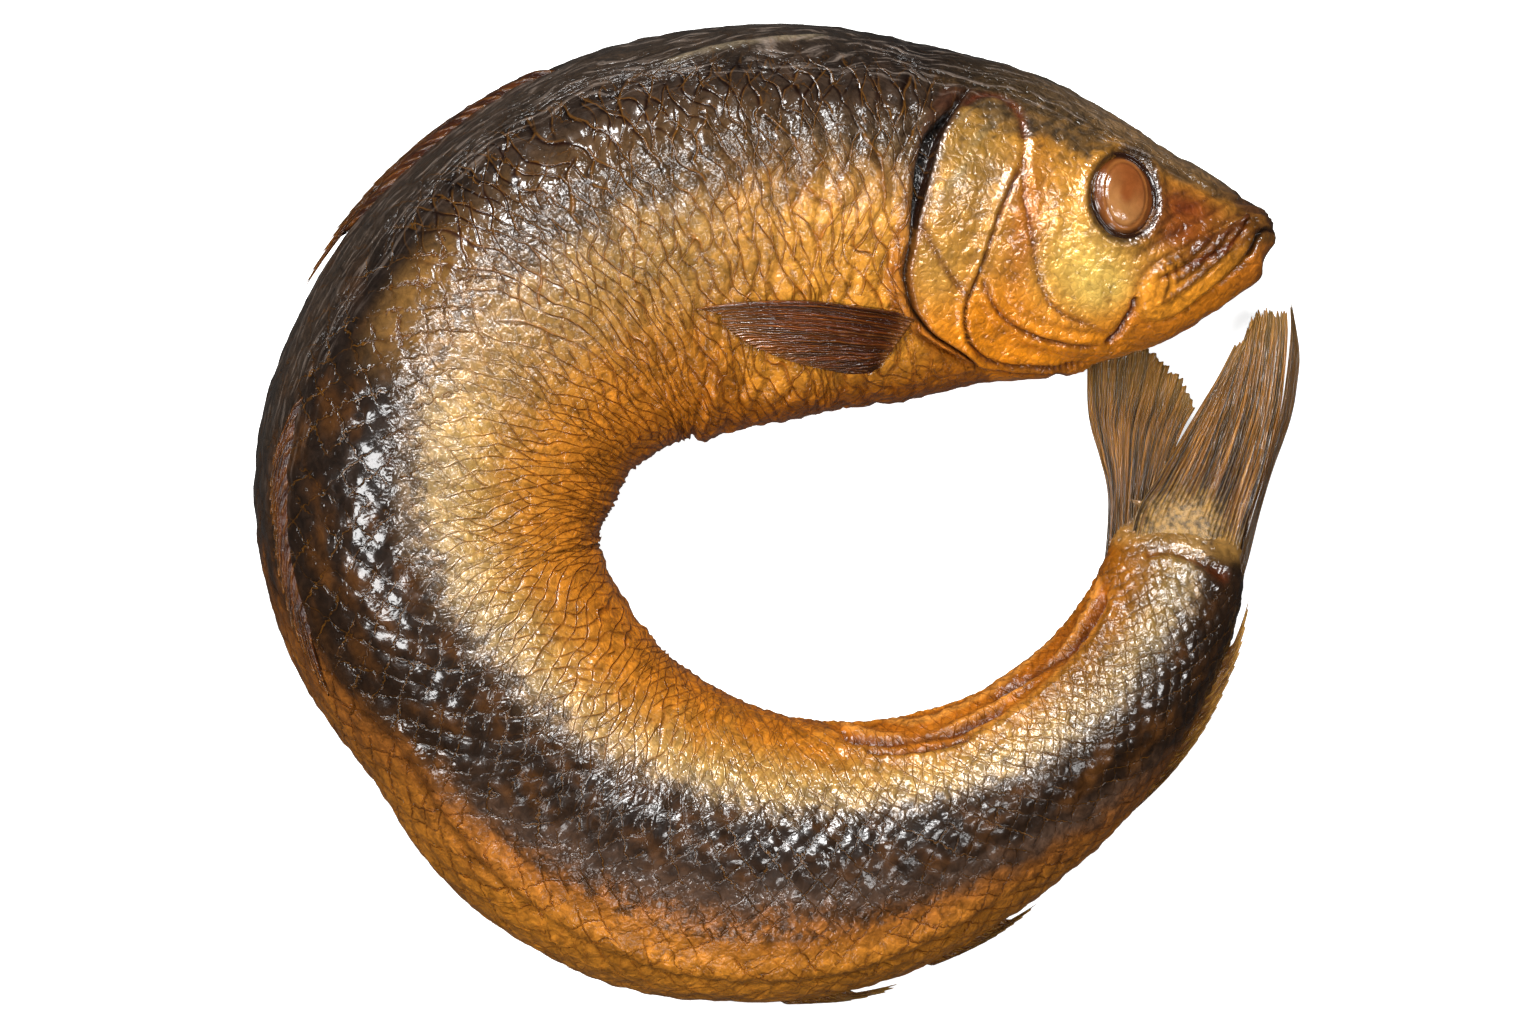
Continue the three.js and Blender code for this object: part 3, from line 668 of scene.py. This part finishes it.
class Value:
    """A number or colour in a shader, which can be added, subtracted and multiplied."""

    def __init__(self, shader, socket):
        self.shader, self.socket = shader, socket

    def __add__(self, other):
        return self.shader.math("ADD", self, other)

    def __sub__(self, other):
        return self.shader.math("SUBTRACT", self, other)

    def __rsub__(self, other):
        return self.shader.math("SUBTRACT", other, self)

    def __mul__(self, other):
        return self.shader.math("MULTIPLY", self, other)


class Shader:
    """A short way to write a material's nodes."""

    def __init__(self, name):
        self.material = bpy.data.materials.new(name)
        self.material.use_nodes = True
        self.tree = self.material.node_tree

    def join(self, value, socket):
        if isinstance(value, Value):
            self.tree.links.new(value.socket, socket)
        else:
            socket.default_value = value

    def node(self, kind, inputs, output=0, **settings):
        """What comes out of a new node; inputs are {socket's name or number: value}."""
        made = self.tree.nodes.new("ShaderNode" + kind)
        for key, value in settings.items():
            setattr(made, key, value)
        for key, value in inputs.items():
            self.join(value, made.inputs[key])
        return Value(self, made.outputs[output])

    def math(self, operation, *values, clamp=False):
        return self.node("Math", dict(enumerate(values)), operation=operation, use_clamp=clamp)

    def fraction(self, value):
        return self.math("FRACT", value)

    def larger(self, a, b):
        return self.math("MAXIMUM", a, b)

    def remap(self, value, low, high):
        """0 at low and 1 at high, with soft bends."""
        return self.node("MapRange", {0: value, 1: low, 2: high}, interpolation_type="SMOOTHSTEP")

    def comb(self, value, start):
        """1 on the whole numbers of value and 0 from 0.5 - start away from them."""
        return self.remap(self.math("ABSOLUTE", self.fraction(value) - 0.5), start, 0.5)

    def mix(self, factor, a, b, blend="MIX"):
        return self.node("Mix", {0: factor, 6: a, 7: b}, 2, data_type="RGBA", blend_type=blend)

    def tint(self, a, b):
        """a times b, which is a value or a colour written as rrggbb."""
        return self.mix(1.0, a, self.colour(b) if isinstance(b, str) else b, "MULTIPLY")

    def colour(self, text):
        return (*linear(text), 1)

    def layers(self, base, *layers):
        """Mixes layers into base, one over the other; each is a mask and a colour."""
        for mask, colour in layers:
            base = self.mix(mask, base, self.colour(colour))
        return base

    def attribute(self, name, output="Fac"):
        return self.node("Attribute", {}, output, attribute_name=name)

    def place(self):
        return self.node("TexCoord", {}, "Object")

    def part(self, vector, number):
        return self.node("SeparateXYZ", {0: vector}, number)

    def uv(self, name):
        both = self.node("UVMap", {}, uv_map=name)
        return self.part(both, 0), self.part(both, 1)

    def vector(self, x, y, z=0.0):
        return self.node("CombineXYZ", {0: x, 1: y, 2: z})

    def noise(self, where, scale, detail=3.0, roughness=0.55, distortion=0.0):
        return self.node("TexNoise", {"Vector": where, "Scale": scale, "Detail": detail,
                                      "Roughness": roughness, "Distortion": distortion})

    def crackle(self, where, scale, warp):
        """The distance to the nearest crack between small facets, and a number for each facet."""
        shift = self.node("TexNoise", {"Vector": where, "Scale": scale * 0.6}, "Color")
        moved = self.node("VectorMath", {0: shift, 1: (warp,) * 3, 2: where}, operation="MULTIPLY_ADD")
        cells = {"Vector": moved, "Scale": scale}
        facet = self.node("TexVoronoi", cells, "Color")
        return self.node("TexVoronoi", cells, "Distance", feature="DISTANCE_TO_EDGE"), self.part(facet, 0)

    def bump(self, height, distance, strength=1.0, **after):
        return self.node("Bump", {"Height": height, "Distance": distance, "Strength": strength, **after})

    def surface(self, values):
        """Sets or joins the numbers of the surface and gives the finished material."""
        for key, value in values.items():
            self.join(value, self.tree.nodes["Principled BSDF"].inputs[key])
        return self.material

    def finish(self, base, roughness, normal, coat, coat_roughness, specular, metallic=0.0):
        return self.surface({
            "Base Color": base, "Roughness": roughness, "Normal": normal, "Coat Normal": normal,
            "Coat Weight": coat, "Coat Roughness": coat_roughness, "Specular IOR Level": specular,
            "Metallic": metallic,
        })


def skin_material():
    """Oily smoked skin: tones from the mesh, overlapping scales, fine wrinkles and small drops of oil."""
    sh = Shader("smoked_skin")
    net_mask, shine, plate, folds, dark, nape, edge, head = (
        sh.attribute(name) for name in ("net", "shine", "plate", "folds", "dark", "nape", "edge", "head"))
    p, q = sh.uv("Scales")
    place = sh.place()
    middle = sh.noise(place, 480, 3, 0.5, 1.2)
    wander = (middle - 0.5) * 0.6
    u = p + q + wander
    v = p - q - wander

    def line(value, width):
        """1 on the whole numbers of value, 0 beyond width."""
        return sh.comb(value, 0.5 - width)

    def threads(tilt, seed):
        """Threads that wander round the body, and the wider groove along each of them."""
        wave = sh.noise(sh.vector(p * 0.3, q * 0.4, seed), 1.0, 2, 0.5)
        count = p * 1.55 + q * tilt + wave * 3.0
        return line(count, 0.08), line(count - 0.09, 0.17)

    broken = sh.remap(sh.noise(place, 230, 3), 0.34, 0.58)
    apart = sh.remap(sh.noise(place, 150, 3), 0.36, 0.52)
    thread_a, groove_a = threads(1.1, 0.0)
    thread_b, groove_b = (part * apart for part in threads(-0.9, 7.0))
    long = sh.larger(thread_a, thread_b) * folds * sh.remap(sh.noise(place, 330, 3), 0.36, 0.56)
    net = sh.larger(line(u, 0.045), line(v, 0.04) * 0.8) * broken * net_mask
    wide = sh.larger(line(u, 0.11), line(v, 0.11)) * net_mask * broken
    groove = sh.larger(wide, sh.larger(groove_a, groove_b) * folds)
    lean = (sh.fraction(u) + sh.fraction(v)) * 0.5
    cell = sh.vector(sh.math("FLOOR", u), sh.math("FLOOR", v))
    cell_tone = sh.node("TexWhiteNoise", {"Vector": cell}, "Value", noise_dimensions="2D") * 0.24 + 0.88

    fine = sh.noise(place, 1300, 4, 0.6)
    broad = sh.noise(place, 90, 3, 0.55)
    crackle, facet = sh.crackle(place, 700, 0.0016)
    streak = sh.noise(sh.vector(p * 0.8, q * 8.0), 1.0, 4, 0.6)
    mottle = ((middle - 0.5) * 2.0 + 1.0) * ((broad - 0.5) * 0.8 + 1.0) * (facet * 0.16 + 0.95)
    mottle = mottle * sh.mix(net_mask, (1, 1, 1, 1), cell_tone)
    base = sh.tint(sh.attribute("tone", "Color"), sh.vector(mottle, mottle, mottle))
    fleck = sh.remap(sh.noise(place, 560, 3, 0.6), 0.46, 0.56)
    base = sh.layers(base, (fleck * edge, "21150a"))
    shaded = sh.tint(base, "7c4a2a")
    base = sh.mix(groove * (dark * 0.45 + 0.55), base, shaded)
    base = sh.mix(sh.remap(crackle, 0.07, 0.0) * 0.22, base, shaded)
    # Lighter grey streaks over the nape: a painted sheen.
    base = sh.layers(base, (sh.remap(streak, 0.5, 0.7) * (nape * 0.6), "84756a"))
    gold = sh.layers(sh.tint(base, "f0b860"), (0.4, "8a5a1c"))
    base = sh.mix(net * 0.85, base, gold)
    base = sh.mix(long * (dark * -0.35 + 0.9), base, gold)

    oil = sh.node("TexVoronoi", {"Vector": place, "Scale": 520}, "Distance")
    drop = sh.remap(oil, 0.26, 0.05) * sh.remap(fine, 0.5, 0.58)
    calm = dark * -0.8 + 1.0
    height = (sh.larger(net, long) * (dark * -0.8 + 1.2) + groove * -0.6) * 0.00017
    for part, metres, where in (
        (middle, 0.00032, head * -0.4 + calm),
        (sh.remap(crackle, 0.0, 0.35), 0.00006, calm + nape),
        (streak, 0.0005, nape),
        (lean, 0.0004, net_mask * (dark * 0.3 + 0.4)),
        (fine, 0.000035, calm),
        (drop, 0.0001, shine),
    ):
        height = height + part * metres * where
    return sh.finish(
        base, sh.noise(place, 700, 3) * 0.2 + 0.2, sh.bump(height, 1.0), shine * 0.75, dark * 0.06 + 0.05,
        plate * 0.6 + 0.1, sh.math("MULTIPLY_ADD", middle, 0.6, -0.05, clamp=True) * plate)


def fin_material(name, dark, light, pale_and_highlight, rays, meat=("46330f", "97733a")):
    """A dried fin: forking rays, glossy ridges between dark grooves, and fleshy parts at its root; the
    ridges carry a painted highlight and the tips are paler.
    """
    sh = Shader(name)
    across, out = sh.uv("Rays")
    place = sh.place()
    wander = sh.noise(sh.vector(across * 3.0, out * 2.0), 3.0, 2)
    ray = across * float(rays) + wander * 1.5
    ridge = sh.mix(sh.remap(out, 0.35, 0.6), sh.comb(ray, 0.15), sh.comb(ray * 2.0, 0.1))
    streak = sh.noise(sh.vector(across * (rays * 0.8), out * 1.4), 1.0, 3, 0.6)
    fibre = sh.noise(sh.vector(across * (rays * 4.0), out * 5.0), 2.0, 4)
    joints = sh.noise(sh.vector(across * float(rays), out * 60.0), 1.0, 2)
    base = sh.mix(sh.remap(streak, 0.42, 0.58), sh.colour(dark), sh.colour(light))
    # Paler along the ray ridges: a painted highlight.
    base = sh.mix(ridge * 0.55, base, sh.layers(base, (0.5, pale_and_highlight)))
    base = sh.mix((1.0 - ridge) * 0.6, base, sh.tint(base, "7a5030"))
    base = sh.layers(base, (sh.remap(out, 0.7, 1.05) * 0.3, pale_and_highlight), (sh.remap(out, 0.7, 0.25) * 0.45, dark),
                     (sh.remap(fibre, 0.4, 0.75) * 0.35, dark))
    flesh = sh.attribute("flesh")
    speckle = sh.noise(place, 1000, 4, 0.65)
    base = sh.mix(flesh, base, sh.mix(sh.remap(speckle, 0.35, 0.65), sh.colour(meat[0]), sh.colour(meat[1])))
    rays_up = sh.bump(fibre * 0.15 + joints * 0.7 + ridge, 0.00025, 1.0 - flesh)
    lumps = sh.bump(speckle, 0.0005, flesh, Normal=rays_up)
    grain = sh.bump(sh.noise(place, 1800, 2), 0.00003, 0.6, Normal=lumps)
    return sh.finish(base, joints * 0.3 + 0.18, grain, 0.8, 0.06, 0.1)


def eye_material():
    """A cooked eye: cloudy amber lens, brown iris and a black glossy ring."""
    sh = Shader("fish_eye")
    place = sh.place()
    cloud = sh.noise(place, 420, 4, 0.6, 0.6)
    shade = cloud * 0.7 + 0.65
    base = sh.tint(sh.attribute("tone", "Color"), sh.vector(shade, shade, shade))
    normal = sh.bump(sh.noise(place, 900, 3), 0.00012, 0.5)
    return sh.finish(base, cloud * 0.2 + 0.1, normal, 0.5, 0.08, 0.2)


# Pieces

def cap_uvs(u, count):
    """Places on the flat map for the count triangles that close one end of the skin."""
    turn = np.arange(count)
    v = np.stack([turn + 0.5, turn, turn + 1], 1) / count
    return np.stack([np.full(v.shape, u), v], -1).reshape(-1, 2)


def make_skin(material):
    head, belly, cut = head_form(), belly_cut(), Path(TAIL_CUT, 20)
    on_body = smooth(head.ring - head.opening, 0.2, 3.0)
    relief = body_relief() * np.maximum(on_body, 1 - FACE * (S < GILL_S + 4)) * smooth(S, 30, 44)
    relief += head.relief + belly.relief + TOP * (0.5 * cut.ridge(0.9, 1.1) - cut.ridge(0.7))
    relief -= 1.1 * smooth(S, 323, 329)
    relief *= smooth(S, 0.0, 1.5) * fall(S, LENGTH - 1.0, LENGTH)
    point, normal, _, _ = skin_frame(S, A)
    point = point + normal * relief[..., None]
    point[..., 2] = lay_flat(point[..., 2])

    tone, flank, dark = skin_tones(head, belly, cut)
    net = smooth(S - GILL_S, 2, 8) * fall(S, 316, 322) * (1 - 0.8 * belly.within)
    net = net * (1 - 0.7 * smooth(SHARE, 0.76, 0.9) * fall(S, 130, 160)) * (1 - 0.5 * SHOULDER)
    net = net * (1 - 0.5 * smooth(flank, 0.1, 0.3)) * (1 - 0.7 * BEND)
    outer = along(BACK_OUTER, S)
    shine = 1 - 0.65 * smooth(ROUND, outer, outer + 0.12) * (1 - ON_HEAD)
    shine = shine * (1 - 0.7 * dark * smooth(ROUND, -0.12, 0.15) * window(S, 200, 290, 15))
    shine = shine * (1 - 0.6 * belly.within) * (1 - 0.4 * head.on_lip)
    plate = ON_HEAD * fall(SHARE, 0.6, 0.75) * (1 - 0.7 * head.on_lip) * smooth(S, 12, 26)
    pale_flank = fall(flank, 0.3, 0.7) * (flank > 0) * smooth(S, 90, 130) * (ROUND < 0.55)
    plate = np.maximum(plate, 0.45 * pale_flank * (1 - 0.6 * smooth(S, 295, 310)))
    plate = np.maximum(plate, 0.7 * smooth(S, 322, 326))
    folds = np.maximum(window(S, 58, 118, 12) * window(SHARE, -0.95, 0.76, 0.1), BEND)
    folds = np.maximum(folds, 0.45 * smooth(flank, 0.05, 0.3) * TOP * fall(S, 300, 318)) * (1 - ON_HEAD)
    edge = 0.6 * smooth(flank, 0.0, 0.04) * fall(flank, 0.1, 0.24) * (1 - ON_HEAD) * (ROUND < 0.55)
    nape = smooth(SHARE, 0.66, 0.85) * smooth(S, 6, 20) * fall(S, 130, 165)

    rows, columns = S.shape[0], S.shape[1] - 1
    quads, i, j = grid_faces(rows, columns, True)

    def corners(values):
        return np.stack([values[i, j], values[i + 1, j], values[i + 1, j + 1], values[i, j + 1]], 1)

    def points_of(values):
        """A value for each point of the mesh: the grid, then the middles of the two ends."""
        return np.concatenate([values[:, :columns].ravel(), [values[0, 0], values[-1, 0]]])

    ends = [point[0, :columns].mean(0), point[-1, :columns].mean(0)]
    points = np.vstack([point[:, :columns].reshape(-1, 3), ends])
    k = np.arange(columns)
    following, base = (k + 1) % columns, (rows - 1) * columns
    first_cap = np.stack([np.full(columns, len(points) - 2), k, following], 1)
    last_cap = np.stack([np.full(columns, len(points) - 1), base + following, base + k], 1)
    caps = np.concatenate([cap_uvs(MAP_MARGIN / 2, columns), cap_uvs(1 - MAP_MARGIN / 2, columns)])
    u = RINGS[:, None] / LENGTH + 0 * A
    v = np.linspace(0, 1, columns + 1)[None] + 0 * R
    scales = np.stack([corners(P), corners(Q)], -1)
    bake = np.stack([corners(u), corners(v)], -1) * (1 - 2 * MAP_MARGIN) + MAP_MARGIN
    piece = mesh_object(
        "skin", points, [*quads.tolist(), *first_cap.tolist(), *last_cap.tolist()], material,
        {"Scales": np.concatenate([scales.reshape(-1, 2), caps]),
         "OFBake": np.concatenate([bake.reshape(-1, 2), caps])},
        {key: points_of(values) for key, values in {
            "net": net, "shine": shine, "plate": plate, "folds": folds, "dark": dark, "nape": nape,
            "edge": edge, "head": ON_HEAD}.items()},
        np.stack([points_of(tone[..., k]) for k in range(3)], -1))
    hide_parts(NODE)


def lens_reach(k, t):
    """1 on the rim of the eye's lens, at share k of the eye's radius and turn t."""
    return k * np.hypot(np.cos(t) / 0.56, np.sin(t) / 0.7)


def eye_height(k, t):
    """How far the eye stands over its rim, in mm."""
    ball = 0.9 * np.sqrt(np.clip(1 - (k / 0.86) ** 2, 0, 1))
    inner = lens_reach(k, t)
    lens = 0.3 * fall(inner, 0.9, 1.02) + 0.2 * bell(inner, 1.08, 0.06)
    ring = 0.5 * bell(k, 0.93, 0.07) - 0.45 * bell(k, 0.84, 0.035)
    lumps = 0.12 * noise_a.layers(3 * k * np.cos(t), 3 * k * np.sin(t), 5, 3)
    return ball + lens + ring + lumps - 1.6 * smooth(k, 0.95, 1.0)


def make_eye(side, material):
    """The eye as a round grid on the skin, flattened where it would reach the surface underneath."""
    rings, turns, spread, sunk = 30, 72, 1.06, 0.75
    k, t = np.meshgrid(np.linspace(0, 1.0, rings)[1:], np.linspace(0, 2 * math.pi, turns, endpoint=False),
                       indexing="ij")
    k, t = np.r_[0, k.ravel()], np.r_[0, t.ravel()]
    point, normal, lengthwise, around = skin_frame(np.array(EYE.s), np.array(side * math.acos(EYE.share)))
    x = EYE.along * spread * k * np.cos(t)
    y = EYE.across * spread * k * np.sin(t)
    lift = eye_height(k, t) - sunk - (0.018 * y * y + 0.008 * x * x) * 0.75
    points = point + lengthwise * x[:, None] + around * y[:, None] + normal * lift[:, None]
    points[:, 2] = lay_flat(points[:, 2], 0.3)
    faces = [[0, 1 + j, 1 + (j + 1) % turns] for j in range(turns)]
    faces += (grid_faces(rings - 1, turns, True)[0] + 1).tolist()
    if side < 0:
        faces = [f[::-1] for f in faces]
    inner = lens_reach(k, t)
    lit = 0.5 + 0.5 * np.cos(t - 1.2)
    tone = paint(
        np.broadcast_to(linear("6e3a18"), (len(k), 3)),
        (0.8 * lit * smooth(inner, 0.1, 0.5), "8e6236"),
        (0.9 * smooth(inner, 0.93, 1.0), "542a0e"),
        (0.6 * bell(inner, 1.08, 0.07), "8a5628"),
        (0.9 * smooth(k, 0.77, 0.85), "0d0706"),
    )
    mesh_object("eye" if side > 0 else "eye_under", points, faces, material, colour=tone)


def fin_grid(across, out):
    """Shares across the fin and out from its root, for a grid of that many points."""
    return np.meshgrid(np.linspace(0, 1, across), np.linspace(0, 1, out), indexing="ij")


def plan_curve(rows, count):
    return catmull(np.array(rows) - ORIGIN, count)


def fin_object(name, surface, normal, half, a, o, material, flesh=None):
    """A thin closed piece: surface and normal are grids of points, and half its half thickness in mm."""
    lowest = 0.02
    across, out = a.shape
    count = across * out
    points = np.vstack([(surface + way * normal * half[..., None]).reshape(-1, 3) for way in (1, -1)])
    points[:, 2] = np.maximum(points[:, 2], lowest)
    quads, _, _ = grid_faces(across, out, False)
    grid = np.arange(count).reshape(a.shape)
    rim = np.concatenate([grid[:, 0], grid[-1, 1:], grid[-2::-1, -1], grid[0, -2:0:-1]])
    following = np.roll(rim, -1)
    walls = np.stack([rim, rim + count, following + count, following], 1)
    faces = np.vstack([quads, quads[:, ::-1] + count, walls])
    uv = np.tile(np.stack([a.ravel(), o.ravel()], -1), (2, 1))[faces.ravel()]
    fleshy = np.zeros(count) if flesh is None else flesh.ravel()
    masks = {"flesh": np.tile(fleshy, 2)}
    turn_out(mesh_object(name, points, faces.tolist(), material, {"Rays": uv}, masks).data)


def turn_out(mesh):
    """Turns the faces of a closed mesh outward if they point in."""
    mesh.calc_loop_triangles()
    co = np.zeros(len(mesh.vertices) * 3)
    mesh.vertices.foreach_get("co", co)
    tri = np.zeros(len(mesh.loop_triangles) * 3, int)
    mesh.loop_triangles.foreach_get("vertices", tri)
    a, b, c = (co.reshape(-1, 3)[tri.reshape(-1, 3)[:, k]] for k in range(3))
    if np.einsum("ij,ij->i", a, np.cross(b, c)).sum() < 0:
        mesh.flip_normals()


def ray_ridges(across, rays, seed):
    """0 between rays and 1 on them, a little uneven."""
    shift = 0.25 * noise_b(across * rays / 2.5, seed)
    return 0.5 + 0.5 * np.cos(2 * math.pi * (across * rays + shift))


def upward_normals(surface):
    n = unit(np.cross(np.gradient(surface, axis=0), np.gradient(surface, axis=1)))
    return np.where(n[..., 2:] < 0, -n, n)


def make_tail_lobe(lobe, material):
    rays = lobe["rays"]
    across, out = rays * 7 + 1, 70
    a, o = fin_grid(across, out)
    near, far = plan_curve(lobe["near"], out), plan_curve(lobe["far"], out)
    tips = plan_curve(lobe["tips"], across)
    first = a[:, 0]
    straight = blend(near[-1], far[-1], first[:, None])
    jag = 0.24 * np.abs(noise_a(first * rays * 0.9, 3.3)) + 0.08 * (1 - ray_ridges(first, rays, 5))
    jag = jag + sum(depth * bell(first, at, width) for at, width, depth in lobe["splits"])
    jag = (jag * window(first, 0.03, 0.98, 0.02))[:, None]
    plan = blend(near[None], far[None], a[..., None])
    plan = plan + (o**2.2 * (1 - jag * o**4))[..., None] * (tips - straight)[:, None, :]
    plan = plan - (jag * o**6)[..., None] * (far[-1] - far[-12])
    x, y = plan[..., 0], plan[..., 1]
    low, high = lobe["height"]
    z = low + (high - low) * o + 0.5 * np.sin(a * 5 + 1.5 * o) * o + 0.35 * noise_c(a * 4, o * 2, rays)
    ridge = ray_ridges(a, rays, 5)
    fibres = 0.5 + 0.5 * np.cos(2 * math.pi * a * rays * 3)
    patch = np.hypot(x - 63.2, y + 3.0) / 8.5 + 0.22 * noise_a.layers(x / 3.5, y / 6, 2, 3)
    flesh = fall(patch + 0.3 * (0.5 - ridge), 0.5, 1.1)
    half = 0.26 + (0.3 * ridge * (1 - 0.5 * o) + 0.08 * fibres) * (1 - flesh) + 0.9 * (1 - o) ** 6
    half = half * (1 - 0.55 * smooth(o, 0.8, 1.0)) * (0.35 + 0.65 * smooth(np.minimum(a, 1 - a), 0, 0.03))
    half = half + 0.9 * flesh + 0.25 * flesh * noise_c.layers(x / 1.6, y / 1.6, 4, 2)
    up = np.array([0.0, 0.0, 1.0])
    fin_object(lobe["name"], np.stack([x, y, z], -1), up, half, a, o, material, flesh)


def make_shoulder_fin(side, material):
    across, out, rays = 120, 90, 14
    a, o = fin_grid(across, out)
    start, middle = (blend(*(np.array(SHOULDER_FIN[key]) - ORIGIN), a[..., None]) for key in ("base", "bow"))
    tips = plan_curve(SHOULDER_FIN["tips"], across)[:, None, :]
    t = o[..., None]
    plan = start * (1 - t) ** 2 + 2 * middle * t * (1 - t) + tips * t**2
    s, share = locate(plan[..., 0], plan[..., 1])
    point, normal, _, _ = skin_frame(s, side * np.arccos(np.clip(share, -0.97, 0.97)))
    leading = bell(a, 0, 0.05)
    lift = 0.1 + 1.3 * smooth(o, 0.0, 0.3) - 0.5 * smooth(o, 0.6, 1.0) + 0.3 * np.sin(2.2 * a + 2 * o)
    half = 0.22 + 0.13 * ray_ridges(a, rays, 2) + 0.32 * leading * (1 - 0.6 * o) + 0.4 * fall(o, 0.0, 0.3)
    half = half * (1 - 0.5 * smooth(o, 0.85, 1.0))
    flesh = 0.7 - 0.7 * smooth(o + 0.05 * noise_c(a * 9, o * 3, 4), 0.02, 0.1)
    name = "shoulder_fin" if side > 0 else "shoulder_fin_under"
    fin_object(name, point + normal * lift[..., None], normal, half, a, o, material, flesh)


def make_folded_fin(material, name, start, end, share, lean, length, rise, rays, ragged):
    a, o = fin_grid(rays * 7 + 1, 26)
    ridge = ray_ridges(a, rays, 7)
    reach = o * (1 - ragged * (0.5 + 0.5 * noise_a(a * rays * 0.35, 9.1, rays)) - 0.1 * (1 - ridge))
    profile = 0.35 + 0.65 * np.sin(math.pi * np.clip(0.12 + 0.8 * a, 0, 1))
    angle = np.arccos(np.clip(share + lean * reach, -1, 1))
    point, normal, _, _ = skin_frame(start + (end - start) * a + length * reach, angle)
    lift = rise * profile * reach + 0.25 - fall(o, 0, 0.25)
    surface = point + normal * lift[..., None]
    half = (0.2 + 0.16 * ridge) * (1 - 0.5 * o)
    fin_object(name, surface, upward_normals(surface), half, a, o, material)


# Light, floor and camera; the lights and the floor are in metres

def make_stage():
    size = 6.0
    mesh = bpy.data.meshes.new("floor")
    corners = [(-size, -size, 0), (size, -size, 0), (size, size, 0), (-size, size, 0)]
    mesh.from_pydata(corners, [], [(0, 1, 2, 3)])
    floor = link_object("floor", mesh)
    mesh.materials.append(Shader("pale_floor").surface({
        "Base Color": (0.9, 0.9, 0.89, 1), "Roughness": 0.8, "Specular IOR Level": 0.0,
        "Emission Color": (1, 1, 1, 1), "Emission Strength": 0.75,
    }))
    floor.visible_glossy = False
    floor.visible_diffuse = False


def add_light(name, tilt, turn, size, radiance):
    """A softbox: tilt from straight above and turn from +X in degrees; its size is across the tilt first."""
    distance = 0.8
    tilt, turn = math.radians(tilt), math.radians(turn)
    way = Vector((math.sin(tilt) * math.cos(turn), math.sin(tilt) * math.sin(turn), math.cos(tilt)))
    data = bpy.data.lights.new(name, "AREA")
    data.shape = "RECTANGLE"
    data.size, data.size_y = size
    data.energy = radiance * math.pi * size[0] * size[1]
    lamp = link_object(name, data)
    lamp.location = way * distance
    lamp.rotation_euler = way.to_track_quat("Z", "Y").to_euler()


def make_lights():
    world = bpy.data.worlds.new("studio")
    bpy.context.scene.world = world
    world.use_nodes = True
    back = world.node_tree.nodes["Background"]
    back.inputs["Color"].default_value = (1, 1, 1, 1)
    back.inputs["Strength"].default_value = 0.06
    add_light("key_softbox", 43, 92, (0.32, 0.11), 58.0)
    add_light("top_strip", 27, 90, (0.34, 0.07), 40.0)
    add_light("left_strip", 30, 178, (0.2, 0.3), 24.0)
    add_light("right_strip", 28, 5, (0.08, 0.28), 30.0)
    add_light("front_fill", 50, -95, (0.3, 0.14), 12.0)


def make_camera():
    """Straight down on the fish through a long lens, worked out in mm."""
    frame_width, image_width, image_height, middle_pixel = 238.08, 1536, 1024, (778.5, 513.0)
    scale = frame_width / image_width
    distance, level, sensor_width = 2600.0, 18.0, 36.0
    x = (image_width / 2 - middle_pixel[0]) * scale - ORIGIN[0]
    y = (middle_pixel[1] - image_height / 2) * scale - ORIGIN[1]
    data = bpy.data.cameras.new("camera")
    data.sensor_width = sensor_width
    data.lens = sensor_width * distance / frame_width
    data.clip_start, data.clip_end = 0.05, 20.0
    camera = link_object("camera", data)
    camera.location = (x * MM, y * MM, (level + distance) * MM)
    camera.rotation_euler = (0, 0, 0)
    bpy.context.scene.camera = camera


make_camera()
make_lights()
make_stage()
bpy.context.scene.view_settings.view_transform = "Standard"

make_skin(skin_material())
eye = eye_material()
tail_skin = fin_material("tail_fin", "1c0f05", "a8702c", "d8a458", 26)
dark_fin = fin_material("shoulder_fin", "2c0f05", "743610", "b06c22", 20, ("4a220c", "7a4a1c"))
gold_fin = fin_material("folded_fin", "6a4018", "b8822e", "dcb060", 14)
brown_fin = fin_material("back_fin", "2e1408", "6e3c16", "a06a2c", 14)
for side in (1, -1):
    make_eye(side, eye)
    make_shoulder_fin(side, dark_fin)
for lobe in TAIL_LOBES:
    make_tail_lobe(lobe, tail_skin)
for fin in FOLDED_FINS:
    make_folded_fin(brown_fin if fin[0].startswith("back_fin") else gold_fin, *fin)
